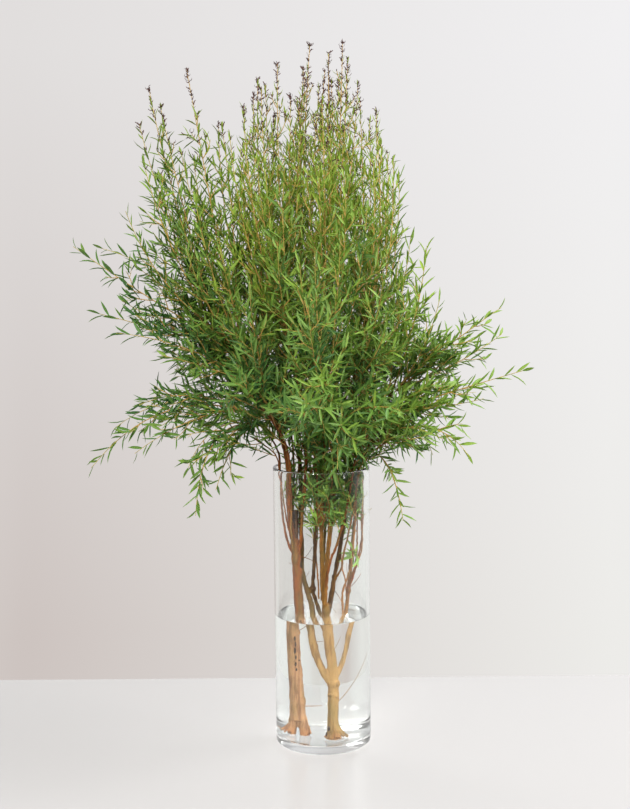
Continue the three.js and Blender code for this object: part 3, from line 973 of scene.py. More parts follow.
RIGHT_LIMBS = (
    Limb("trunk", ((0.009, -0.014, BELOW_FOOT), (0.008, -0.0135, 0.033), (0.0085, -0.0115, 0.060),
         (0.0075, -0.010, 0.085), (0.005, -0.008, 0.112), (0.003, -0.008, 0.140)),
         (0.0047, 0.0040), Bark.OCHRE, flare=1.45),
    Limb("crossing", ((0.0085, -0.011, 0.062), (-0.002, -0.009, 0.084), (-0.008, -0.005, 0.108),
         (-0.011, -0.001, 0.141), (-0.015, 0.004, 0.155), (-0.021, 0.009, 0.178), (-0.0215, 0.012, 0.205),
         (-0.0225, 0.014, 0.250), (-0.022, 0.016, 0.287), (-0.027, 0.024, 0.330), (-0.039, 0.042, 0.385),
         (-0.048, 0.058, 0.430)), (0.0034, 0.0012), Bark.OLIVE, leafy_from=0.236),
    Limb("right", ((0.009, -0.0105, 0.068), (0.016, -0.005, 0.088), (0.021, -0.001, 0.118),
         (0.0255, 0.002, 0.141), (0.029, 0.003, 0.172), (0.031, 0.004, 0.200), (0.036, 0.005, 0.245),
         (0.0385, 0.006, 0.287), (0.047, 0.006, 0.322), (0.067, 0.004, 0.354), (0.091, 0.002, 0.382)),
         (0.0024, 0.0011), Bark.OCHRE, leafy_from=0.205),
    Limb("middle", ((0.003, -0.008, 0.136), (0.0005, -0.009, 0.165), (0, -0.009, 0.200), (0, -0.010, 0.240),
         (0.001, -0.011, 0.288), (0.002, -0.011, 0.340), (0.006, -0.010, 0.400), (0.012, -0.008, 0.460)),
         (0.0029, 0.0012), Bark.OCHRE),
    Limb("leaning", ((0.003, -0.007, 0.122), (0.009, -0.003, 0.152), (0.013, 0, 0.175), (0.018, 0.004, 0.198),
         (0.023, 0.006, 0.226), (0.027, 0.009, 0.255), (0.030, 0.011, 0.288), (0.037, 0.020, 0.330),
         (0.054, 0.038, 0.372)), (0.0026, 0.0012), Bark.DARK, leafy_from=0.208),
)

RIGHT_TWIGS = (
    Limb("dark", ((0.003, -0.007, 0.118), (-0.005, 0, 0.142), (-0.010, 0.006, 0.160), (-0.008, 0.008, 0.190),
         (-0.007, 0.010, 0.236), (-0.006, 0.012, 0.288), (-0.008, 0.015, 0.340), (-0.014, 0.020, 0.400),
         (-0.020, 0.025, 0.450)), (0.0022, 0.0010), Bark.DARK, leafy_from=0.205),
    Limb("next", ((0.003, -0.008, 0.145), (0.005, -0.007, 0.182), (0.011, -0.007, 0.239),
         (0.016, -0.007, 0.287), (0.022, -0.007, 0.340), (0.033, -0.005, 0.400), (0.044, -0.002, 0.446)),
         (0.0021, 0.0010), Bark.TAN, leafy_from=0.218),
    Limb("wall", ((0.027, 0.002, 0.158), (0.037, 0, 0.190), (0.0425, 0, 0.225), (0.0436, 0, 0.288),
         (0.049, -0.004, 0.308), (0.063, -0.010, 0.324)), (0.0012, 0.0008), Bark.RED, leafy_from=0.215),
    Limb("behind", ((0, -0.006, 0.150), (0.001, 0.008, 0.180), (0.004, 0.022, 0.225), (0.005, 0.031, 0.288),
         (0.005, 0.044, 0.330), (0.006, 0.066, 0.366)), (0.0016, 0.0010), Bark.OLIVE, leafy_from=0.205),
    Limb("forward", ((0, -0.010, 0.232), (0.003, -0.022, 0.286), (0.005, -0.040, 0.322),
         (0.005, -0.062, 0.348)), (0.0013, 0.0009), Bark.TAN, leafy_from=0.275),
    Limb("thin_left", ((-0.0035, 0, 0.150), (-0.0051, 0.010, 0.179), (-0.0061, 0.016, 0.195),
         (-0.0040, 0.022, 0.234), (-0.0044, 0.024, 0.258), (-0.0053, 0.025, 0.285), (-0.010, 0.034, 0.340)),
         (0.0009, 0.0006), Bark.TAN, leafy_from=0.200),
    Limb("front_right", ((0.0030, -0.010, 0.168), (0.0096, -0.016, 0.197), (0.0144, -0.018, 0.209),
         (0.0220, -0.022, 0.237), (0.0266, -0.024, 0.258), (0.0311, -0.026, 0.285), (0.038, -0.032, 0.310),
         (0.056, -0.048, 0.345)), (0.0014, 0.0009), Bark.RED, leafy_from=0.212),
    Limb("from_knot", ((0.0130, 0, 0.170), (0.0195, -0.010, 0.184), (0.0214, -0.012, 0.197),
         (0.0276, -0.016, 0.225), (0.0322, -0.018, 0.248), (0.0367, -0.020, 0.280), (0.046, -0.022, 0.310),
         (0.072, -0.026, 0.350)), (0.0011, 0.0007), Bark.OCHRE, leafy_from=0.215),
    Limb("thin_back", ((0.0255, 0.003, 0.150), (0.0243, 0.012, 0.167), (0.0219, 0.017, 0.177),
         (0.0203, 0.020, 0.194), (0.0211, 0.023, 0.217), (0.0225, 0.026, 0.251), (0.0239, 0.027, 0.285),
         (0.034, 0.042, 0.330)), (0.0008, 0.0006), Bark.TAN, leafy_from=0.215),
    Limb("second_right", ((0.0215, 0, 0.130), (0.0210, -0.004, 0.157), (0.0241, -0.008, 0.169),
         (0.0298, -0.012, 0.189), (0.0332, -0.015, 0.225), (0.0344, -0.016, 0.247), (0.0368, -0.018, 0.285),
         (0.048, -0.026, 0.305), (0.074, -0.040, 0.325)), (0.0012, 0.0007), Bark.TAN, leafy_from=0.205),
    Limb("edge_back", ((0.0300, 0.003, 0.168), (0.0362, 0.006, 0.191), (0.0372, 0.008, 0.203),
         (0.0381, 0.012, 0.235), (0.0390, 0.014, 0.265), (0.0400, 0.015, 0.290), (0.052, 0.022, 0.330)),
         (0.0009, 0.0006), Bark.RED, leafy_from=0.210),
    Limb("edge_front", ((0.0300, 0.003, 0.172), (0.0391, 0, 0.193), (0.0423, -0.003, 0.212),
         (0.0409, -0.004, 0.229), (0.0421, -0.005, 0.251), (0.0440, -0.005, 0.290), (0.060, -0.008, 0.318)),
         (0.0008, 0.0006), Bark.TAN, leafy_from=0.238),
    Limb("front_middle", ((0.0005, -0.010, 0.160), (0.0022, -0.015, 0.174), (0.0041, -0.018, 0.197),
         (0.0077, -0.022, 0.238), (0.0073, -0.024, 0.260), (0.0058, -0.025, 0.285), (0.004, -0.032, 0.310),
         (-0.004, -0.052, 0.350)), (0.0011, 0.0007), Bark.OCHRE, leafy_from=0.250),
    Limb("front_left", ((0, -0.010, 0.212), (-0.0034, -0.016, 0.237), (-0.0049, -0.018, 0.254),
         (-0.0042, -0.020, 0.271), (-0.0058, -0.022, 0.296), (-0.014, -0.036, 0.335)),
         (0.0009, 0.0006), Bark.TAN, leafy_from=0.225),
    Limb("front_far", ((0.0010, -0.011, 0.230), (0.0056, -0.018, 0.254), (0.0101, -0.024, 0.271),
         (0.0125, -0.029, 0.296), (0.020, -0.046, 0.325)), (0.0008, 0.0006), Bark.TAN),
)

# The limbs that carry sprays, by name. Both branches have a trunk, which carries none.
LIMBS = {limb.name: limb for limb in LEFT_LIMBS + LEFT_TWIGS + RIGHT_LIMBS + RIGHT_TWIGS}


@dataclass(frozen=True)
class Strand:
    """A bare dead twig or fibre: where it starts, bends and ends, and its radius at the root."""

    start: Point
    bend: Point
    end: Point
    radius: float


LEFT_STRANDS = (
    Strand((-0.0245, -0.003, 0.184), (-0.030, -0.005, 0.188), (-0.0345, -0.006, 0.190), 0.00035),
    Strand((-0.0245, -0.003, 0.181), (-0.029, -0.006, 0.176), (-0.031, -0.007, 0.170), 0.00030),
    Strand((-0.0225, -0.002, 0.196), (-0.012, -0.004, 0.194), (-0.004, -0.006, 0.188), 0.00040),
    Strand((-0.0240, -0.002, 0.165), (-0.018, -0.005, 0.172), (-0.013, -0.006, 0.181), 0.00030),
    Strand((-0.0145, -0.004, 0.040), (-0.008, -0.007, 0.041), (-0.001, -0.009, 0.042), 0.00045),
    Strand((-0.0225, -0.002, 0.118), (-0.016, -0.006, 0.122), (-0.013, -0.008, 0.127), 0.00045),
    Strand((-0.0250, 0.001, 0.017), (-0.031, -0.001, 0.010), (-0.039, -0.002, 0.013), 0.00060),
    Strand((-0.0250, 0.000, 0.013), (-0.032, -0.004, 0.009), (-0.040, -0.006, 0.016), 0.00050),
    Strand((-0.0240, 0.003, 0.015), (-0.030, 0.007, 0.009), (-0.036, 0.012, 0.011), 0.00050),
)

RIGHT_STRANDS = (
    Strand((0.0125, -0.013, 0.047), (0.027, -0.014, 0.064), (0.0405, -0.010, 0.095), 0.00032),
    Strand((-0.0080, -0.004, 0.109), (-0.002, -0.012, 0.110), (0.003, -0.016, 0.113), 0.00040),
    Strand((0.0075, -0.011, 0.098), (0.012, -0.015, 0.107), (0.0155, -0.018, 0.117), 0.00032),
    Strand((0.0035, -0.010, 0.150), (0.010, -0.014, 0.146), (0.014, -0.015, 0.139), 0.00035),
    Strand((0.0120, -0.002, 0.160), (0.020, -0.006, 0.152), (0.022, -0.008, 0.141), 0.00035),
    Strand((0.0290, 0.002, 0.170), (0.025, -0.006, 0.178), (0.0255, -0.008, 0.190), 0.00035),
    Strand((-0.0210, 0.008, 0.190), (-0.014, 0.001, 0.196), (-0.010, -0.002, 0.206), 0.00035),
    Strand((0.0270, 0.003, 0.160), (0.034, -0.003, 0.166), (0.040, -0.006, 0.178), 0.00040),
)


@dataclass(frozen=True)
class Root:
    """A ragged root fibre at a foot: its middle, its turn in degrees, how far out it starts and ends."""

    middle: tuple[float, float]
    turn: float
    inner: float
    outer: float
    height: float


def roots(middle: tuple[float, float], inner: float, *splays: tuple[float, float, float]) -> tuple[Root, ...]:
    """The fibres round one foot, each given by its turn, how far it splays out and how high it starts."""
    return tuple(Root(middle, turn, inner, inner + out, height) for turn, out, height in splays)


LEFT_ROOTS = roots(
    (-0.0250, 0.001), 0.0028, (-110, 0.0016, 0.006), (-60, 0.0014, 0.007), (140, 0.0030, 0.007),
    (165, 0.0072, 0.009), (188, 0.0094, 0.010), (208, 0.0060, 0.008), (232, 0.0028, 0.007),
    (90, 0.0016, 0.006),
) + roots(
    (-0.0145, -0.0015), 0.0032, (-100, 0.0014, 0.008), (-60, 0.0020, 0.007), (-20, 0.0024, 0.009),
    (15, 0.0018, 0.006), (60, 0.0016, 0.007), (120, 0.0010, 0.005), (215, 0.0012, 0.006),
)

RIGHT_ROOTS = roots(
    (0.009, -0.014), 0.0056, (-95, 0.0022, 0.006), (-70, 0.0040, 0.008), (-50, 0.0052, 0.007),
    (-32, 0.0068, 0.010), (-14, 0.0078, 0.008), (4, 0.0070, 0.011), (22, 0.0074, 0.009), (44, 0.0046, 0.008),
    (75, 0.0032, 0.007), (110, 0.0026, 0.006), (150, 0.0024, 0.006), (185, 0.0030, 0.007),
    (215, 0.0034, 0.006), (240, 0.0026, 0.005),
)


@dataclass(frozen=True)
class Knot:
    """A swelling or a dark scar on a limb: its middle and its half sizes."""

    middle: Point
    size: Point


LEFT_KNOTS = (
    Knot((-0.0270, -0.0005, 0.193), (0.0052, 0.0048, 0.0105)),
    Knot((-0.0295, -0.0010, 0.207), (0.0038, 0.0035, 0.0080)),
    Knot((-0.0248, -0.0005, 0.178), (0.0047, 0.0045, 0.0080)),
    Knot((-0.0190, -0.0010, 0.044), (0.0056, 0.0050, 0.0100)),
    Knot((-0.0194, -0.0026, 0.118), (0.0020, 0.0020, 0.0034)),
)

# Dark scratches down the front of the left trunk
LEFT_SCARS = (
    Knot((-0.0226, -0.0056, 0.112), (0.0009, 0.0005, 0.0026)),
    Knot((-0.0221, -0.0056, 0.106), (0.0007, 0.0005, 0.0030)),
    Knot((-0.0226, -0.0055, 0.099), (0.0010, 0.0005, 0.0034)),
    Knot((-0.0219, -0.0056, 0.092), (0.0007, 0.0005, 0.0028)),
    Knot((-0.0222, -0.0056, 0.085), (0.0010, 0.0005, 0.0024)),
    Knot((-0.0214, -0.0056, 0.079), (0.0008, 0.0005, 0.0016)),
    Knot((-0.0190, -0.0052, 0.089), (0.0008, 0.0005, 0.0008)),
)

RIGHT_SCARS = (
    Knot((0.0045, -0.0180, 0.020), (0.0012, 0.0008, 0.0030)),
    Knot((0.0030, -0.0150, 0.013), (0.0014, 0.0014, 0.0030)),
)

RIGHT_KNOTS = (
    Knot((0.0085, -0.0112, 0.066), (0.0057, 0.0050, 0.0064)),
    Knot((0.0060, -0.0155, 0.055), (0.0024, 0.0018, 0.0016)),
    Knot((0.0098, -0.0152, 0.053), (0.0020, 0.0018, 0.0014)),
    Knot((0.0035, -0.0080, 0.140), (0.0047, 0.0045, 0.0080)),
    Knot((0.0130, -0.0005, 0.173), (0.0032, 0.0030, 0.0045)),
    Knot((-0.0100, 0.0058, 0.159), (0.0034, 0.0032, 0.0048)),
    Knot((0.0275, 0.0025, 0.158), (0.0030, 0.0028, 0.0042)),
)


@dataclass
class Branch:
    """One woody branch: its limbs grown together, with knots, a foot and bare dead twigs.

    Soaked is the share of the under-water colour below the water, and torn that of torn wood at the foot.
    """

    name: str
    node: str
    slot: str
    limbs: tuple[Limb, ...]
    twigs: tuple[Limb, ...]
    knots: tuple[Knot, ...]
    scars: tuple[Knot, ...]
    strands: tuple[Strand, ...]
    roots: tuple[Root, ...]
    under_water: Colour
    torn_wood: Colour = srgb("93603a")
    stub: Optional[Limb] = None
    skin: float = 0.00062
    curve_depth: float = 0.001
    step: float = 0.003
    root_radii: tuple[float, float] = (0.0017, 0.0005)
    root_lift: float = 0.0014
    sway: float = 0.0006
    faces_kept: float = 0.36
    bore: tuple[float, float] = (0.0007, 0.0017)
    bore_depth: float = 0.018
    bore_sink: float = 0.0085
    soaked: float = 0.85
    torn: float = 0.65

    def strand_curve(self, name: str, sides: int) -> bpy.types.Curve:
        """An empty curve that is drawn as round tubes.

        Args:
            name: the curve's name.
            sides: how many sides a tube has.

        Returns:
            The curve.
        """
        curve = bpy.data.curves.new(name, "CURVE")
        curve.dimensions = "3D"
        curve.bevel_depth = self.curve_depth
        curve.bevel_resolution = (sides - 4) // 2
        curve.use_fill_caps = True
        return curve

    def add_tube(self, curve: bpy.types.Curve, points: Array, radii: Array) -> None:
        """Adds one tube to a curve.

        Args:
            curve: the curve.
            points: the tube's middle line.
            radii: its radius at each point.
        """
        spline = curve.splines.new("POLY")
        spline.points.add(len(points) - 1)
        for place, at, radius in zip(spline.points, points, radii):
            place.co = (*at, 1.0)
            place.radius = radius / self.curve_depth

    def to_mesh(self, curve: bpy.types.Curve) -> Piece:
        """Turns a curve into a mesh object.

        Args:
            curve: the curve.

        Returns:
            The object, in the scene.
        """
        piece = bpy.data.objects.new(curve.name, curve)
        bpy.context.scene.collection.objects.link(piece)
        take_up(piece)
        bpy.ops.object.convert(target="MESH")
        return bpy.context.active_object

    def tubes(self) -> Piece:
        """Draws the limbs and the foot's fibres as overlapping tubes.

        Returns:
            The tubes as one mesh object.
        """
        curve = self.strand_curve(self.name, 12)
        for limb in self.limbs:
            path = limb.path()
            shares = np.linspace(0, 1, max(4, int(path.length / self.step)))
            self.add_tube(curve, path.at(shares), limb.radii(shares))
        for root in self.roots:
            out = np.array([math.cos(math.radians(root.turn)), math.sin(math.radians(root.turn))])
            middle = np.array(root.middle)
            top = [*(middle + out * root.inner * 0.75), FOOT_LEVEL + root.height]
            knee = [*(middle + out * (root.inner * 0.6 + root.outer * 0.4)), FOOT_LEVEL + root.height * 0.35]
            end = [*(middle + out * root.outer), FOOT_LEVEL + self.root_lift]
            path = Path.arc(np.array(top), np.array(knee), np.array(end), 6)
            self.add_tube(curve, path.at(np.linspace(0, 1, 6)), np.linspace(*self.root_radii, 6))
        return self.to_mesh(curve)

    def add_balls(
        self, wood: Piece, knots: Sequence[Knot], finish: Optional[Material] = None
    ) -> None:
        """Joins swellings or scars to the wood, as balls with half sizes.

        Args:
            wood: the branch so far.
            knots: where they are and how large.
            finish: their material, where it isn't the bark's.
        """
        for knot in knots:
            deselect_all()
            bpy.ops.mesh.primitive_uv_sphere_add(segments=14, ring_count=8, radius=1.0, location=knot.middle)
            ball = bpy.context.active_object
            ball.scale = knot.size
            bpy.ops.object.transform_apply(location=True, scale=True)
            if finish:
                ball.data.materials.append(finish)
            wood.select_set(True)
            bpy.context.view_layer.objects.active = wood
            bpy.ops.object.join()

    def roughen(self, wood: Piece) -> None:
        """Raises the bark's own unevenness, long along the limbs.

        Args:
            wood: the branch so far.
        """
        stretch = bpy.data.objects.new("bark_stretch", None)
        stretch.scale = (1.0, 1.0, 3.2)
        bpy.context.scene.collection.objects.link(stretch)
        bpy.context.view_layer.update()
        for size, height in ((0.0070, 0.0016), (0.0020, 0.0010)):
            texture = bpy.data.textures.new("bark_relief", "CLOUDS")
            texture.noise_scale = size
            texture.noise_depth = 2
            apply_modifier(
                wood, "DISPLACE", texture=texture, texture_coords="OBJECT",
                texture_coords_object=stretch, strength=height, mid_level=0.5,
            )
        bpy.data.objects.remove(stretch)

    def hollow(self, wood: Piece) -> None:
        """Drills the broken stub out from its top.

        Args:
            wood: the branch so far.
        """
        top = Vector(self.stub.points[-1])
        deselect_all()
        bpy.ops.mesh.primitive_cone_add(
            vertices=12, radius1=self.bore[0], radius2=self.bore[1], depth=self.bore_depth,
            location=top - Vector((0, 0, self.bore_sink)),
        )
        drill = bpy.context.active_object
        apply_modifier(wood, "BOOLEAN", operation="DIFFERENCE", object=drill, solver="EXACT")
        bpy.data.objects.remove(drill)

    def trim_foot(self, wood: Piece) -> None:
        """Cuts the foot flat where it stands on the glass.

        Args:
            wood: the branch so far.
        """
        take_up(wood)
        bpy.ops.object.mode_set(mode="EDIT")
        bpy.ops.mesh.select_all(action="SELECT")
        bpy.ops.mesh.bisect(
            plane_co=(0, 0, FOOT_LEVEL), plane_no=(0, 0, 1), clear_inner=True, use_fill=True
        )
        bpy.ops.object.mode_set(mode="OBJECT")

    def paint(self, wood: Piece) -> None:
        """Stores the bark's colour at each point: each limb's own, paler under water, torn at the foot.

        Args:
            wood: the branch so far.
        """
        mesh = wood.data
        points = np.empty(len(mesh.vertices) * 3)
        mesh.vertices.foreach_get("co", points)
        points = points.reshape(-1, 3)
        best = np.full(len(points), np.inf)
        colours = np.tile(np.array(srgb(Bark.RED.value)), (len(points), 1))
        for limb in self.limbs + self.twigs:
            path = limb.path()
            shares = np.linspace(0, 1, 40)
            spots, radii = path.at(shares), limb.radii(shares)
            for spot, radius in zip(spots, radii):
                away = np.linalg.norm(points - spot, axis=1) - radius
                nearer = away < best
                best[nearer] = away[nearer]
                colours[nearer] = srgb(limb.bark.value)
        wet = self.soaked * smooth_step(WATER_LEVEL + 0.004, WATER_LEVEL - 0.006, points[:, 2])[:, None]
        colours = colours * (1 - wet) + np.array(self.under_water) * wet
        torn = self.torn * smooth_step(FOOT_LEVEL + 0.012, FOOT_LEVEL + 0.003, points[:, 2])[:, None]
        colours = colours * (1 - torn) + np.array(self.torn_wood) * torn
        layer = mesh.attributes.new("bark", "FLOAT_COLOR", "POINT")
        layer.data.foreach_set("color", colours.astype(np.float32).ravel())

    def thin_wood(self) -> Piece:
        """Draws the thin limbs, with slight swellings and bends, and the bare dead twigs and fibres.

        Returns:
            The twigs as one mesh object.
        """
        curve = self.strand_curve(self.name + "_thin", 8)
        for order, limb in enumerate(self.twigs):
            path = limb.path()
            count = int(path.length / self.step)
            shares = np.linspace(0, 1, count)
            swell = np.array([0.88 + 0.30 * draw(order, k, 5) ** 2 for k in range(count)])
            sway = np.array([[draw(order, k, c) - 0.5 for c in (6, 7, 8)] for k in range(count)])
            sway[0] = sway[-1] = 0
            self.add_tube(curve, path.at(shares) + sway * self.sway, limb.radii(shares) * swell)
        for strand in self.strands:
            path = Path.arc(*(np.array(p) for p in (strand.start, strand.bend, strand.end)), 8)
            shares = np.linspace(0, 1, 8)
            self.add_tube(curve, path.at(shares), np.linspace(strand.radius, strand.radius * 0.5, 8))
        return self.to_mesh(curve)

    def build(self, bark: Material, dark: Material) -> Piece:
        """Grows the branch together and dresses it.

        Args:
            bark: the bark's material.
            dark: the material of the hollow stub and the scars.

        Returns:
            The finished piece.
        """
        wood = self.tubes()
        self.add_balls(wood, self.knots)
        apply_modifier(wood, "REMESH", mode="VOXEL", voxel_size=self.skin)
        apply_modifier(wood, "SMOOTH", factor=0.5, iterations=3)
        self.roughen(wood)
        apply_modifier(wood, "DECIMATE", ratio=self.faces_kept)
        if self.stub:
            self.hollow(wood)
        self.trim_foot(wood)
        thin = self.thin_wood()
        take_up(wood)
        thin.select_set(True)
        bpy.ops.object.join()
        wood.name = self.name
        wood.data.name = self.name
        wood.data.materials.clear()
        wood.data.materials.append(bark)
        wood.data.materials.append(dark)
        self.add_balls(wood, self.scars, dark)
        self.paint(wood)
        if self.stub:
            self.darken_stub(wood)
        take_up(wood)
        bpy.ops.object.shade_smooth_by_angle(angle=math.radians(70))
        settle(wood, self.slot, self.node)
        return wood

    def darken_stub(self, wood: Piece) -> None:
        """Gives the hollow's faces the dark wood.

        Args:
            wood: the branch.
        """
        top = Vector(self.stub.points[-1])
        reach, low, high = 0.0018, -0.020, 0.004
        for face in wood.data.polygons:
            offset = face.center - top
            inside = offset.xy.length < reach and low < offset.z < high
            if inside and face.normal.xy.dot(offset.xy) < 0.5 * offset.xy.length:
                face.material_index = 1


@dataclass
class Vase:
    """The clear glass cylinder with its thick floor and rounded rim."""

    radius: float = VASE_RADIUS
    height: float = VASE_HEIGHT
    wall: float = GLASS_WALL
    floor: float = GLASS_FLOOR
    segments: int = 160
    rim_round: float = 0.0011
    base_round: float = 0.0022

    def build(self) -> Piece:
        """Models the vase from a cylinder, inset and drawn down, with its edges rounded.

        Returns:
            The finished piece.
        """
        deselect_all()
        bpy.ops.mesh.primitive_cylinder_add(
            vertices=self.segments, radius=self.radius, depth=self.height, location=(0, 0, self.height / 2)
        )
        vase = bpy.context.active_object
        vase.name = vase.data.name = "vase_glass"
        bpy.ops.object.transform_apply(location=True)
        bpy.ops.object.mode_set(mode="EDIT")
        select_faces(vase, lambda face: face.normal.z > 0.9)
        inner = self.radius - self.wall
        bpy.ops.mesh.inset(thickness=self.wall)
        bpy.ops.mesh.extrude_region_move(
            TRANSFORM_OT_translate={"value": (0, 0, self.floor - self.height)}
        )
        self.support_rings(vase, inner)
        for height, radius, size, steps in (
            (self.height, self.radius, self.rim_round, 4),
            (self.height, inner, self.rim_round, 4),
            (0.0, self.radius, self.base_round, 5),
            (self.floor, inner, FLOOR_FILLET, 6),
        ):
            select_ring(vase, height, radius)
            bpy.ops.mesh.bevel(offset=size, segments=steps, profile=0.5, affect="EDGES")
        bpy.ops.object.mode_set(mode="OBJECT")
        bpy.ops.object.shade_smooth_by_angle(angle=math.radians(50))
        vase.data.materials.append(ClearFinish("glass_clear", "fcfefd", bend=1.47, passed=0.97).material())
        settle(vase, "glass", "vase")
        return vase

    def support_rings(self, vase: Piece, inner: float) -> None:
        """Adds rings beside the rounded edges, so that the long walls and the flats stay true.

        Args:
            vase: the object in edit mode.
            inner: the bore's radius.
        """
        for height in (0.006, 0.015, self.height - 0.004):
            bpy.ops.mesh.select_all(action="SELECT")
            bpy.ops.mesh.bisect(plane_co=(0, 0, height), plane_no=(0, 0, 1))
        select_faces(vase, lambda face: face.normal.z < -0.9)
        bpy.ops.mesh.inset(thickness=self.base_round * 1.5)
        select_faces(vase, lambda face: face.normal.z > 0.9 and face.center.z < self.height / 2)
        bpy.ops.mesh.inset(thickness=FLOOR_FILLET * 1.3)


@dataclass
class Water:
    """The water, which wets the glass and climbs a little up its wall."""

    level: float = WATER_LEVEL
    wetting: float = 0.00005
    climb: float = 0.0009
    segments: int = 160
    rings: tuple[float, ...] = (0.0006, 0.0010, 0.0014, 0.004, 0.008, 0.010, 0.010)
    ripple_size: float = 0.018
    ripple_height: float = 0.0008

    def build(self) -> Piece:
        """Models the water from a cylinder, with a raised rim and a slightly uneven surface.

        Returns:
            The finished piece.
        """
        radius = VASE_RADIUS - GLASS_WALL + self.wetting
        bottom = GLASS_FLOOR - self.wetting
        deselect_all()
        bpy.ops.mesh.primitive_cylinder_add(
            vertices=self.segments, radius=radius, depth=self.level - bottom,
            location=(0, 0, (self.level + bottom) / 2),
        )
        water = bpy.context.active_object
        water.name = water.data.name = "water_clear"
        bpy.ops.object.transform_apply(location=True)
        bpy.ops.object.mode_set(mode="EDIT")
        select_ring(water, bottom, radius)
        bpy.ops.mesh.bevel(offset=FLOOR_FILLET, segments=6, profile=0.5, affect="EDGES")
        bpy.ops.mesh.select_all(action="SELECT")
        bpy.ops.mesh.bisect(plane_co=(0, 0, bottom + 0.006), plane_no=(0, 0, 1))
        select_faces(water, lambda face: face.normal.z > 0.9)
        for width in self.rings:
            bpy.ops.mesh.inset(thickness=width)
        for inset, rise in ((0.0, self.climb), (0.0006, self.climb * 0.45), (0.0016, self.climb * 0.12)):
            select_ring(water, self.level, radius - inset)
            bpy.ops.transform.translate(value=(0, 0, rise))
        bpy.ops.object.mode_set(mode="OBJECT")
        self.ripple(water)
        bpy.ops.object.shade_smooth_by_angle(angle=math.radians(60))
        water.data.materials.append(ClearFinish("water_clear", "ffffff", bend=1.333, passed=0.98).material())
        settle(water, "water", "water")
        return water

    def ripple(self, water: Piece) -> None:
        """Lifts the surface by a fraction of a millimetre here and there, away from the wall.

        Args:
            water: the finished shape.
        """
        group = water.vertex_groups.new(name="surface")
        still = VASE_RADIUS - GLASS_WALL - 0.004
        top = [v for v in water.data.vertices if v.co.z > self.level - NEAR]
        group.add([v.index for v in top if v.co.xy.length < still], 1.0, "REPLACE")
        texture = bpy.data.textures.new("ripple", "CLOUDS")
        texture.noise_scale = self.ripple_size
        apply_modifier(
            water, "DISPLACE", texture=texture, texture_coords="LOCAL", direction="Z",
            strength=self.ripple_height, mid_level=0.5, vertex_group="surface",
        )


@dataclass(frozen=True)
class Spray:
    """One leafy stem that grows from a limb, with side shoots and leaves all round it.

    It leaves its limb at a share of the limb's length, bends towards one point and ends at its tip.
    """

    name: str
    limb: str
    along: float
    bend: Point
    tip: Point
    kind: Kind


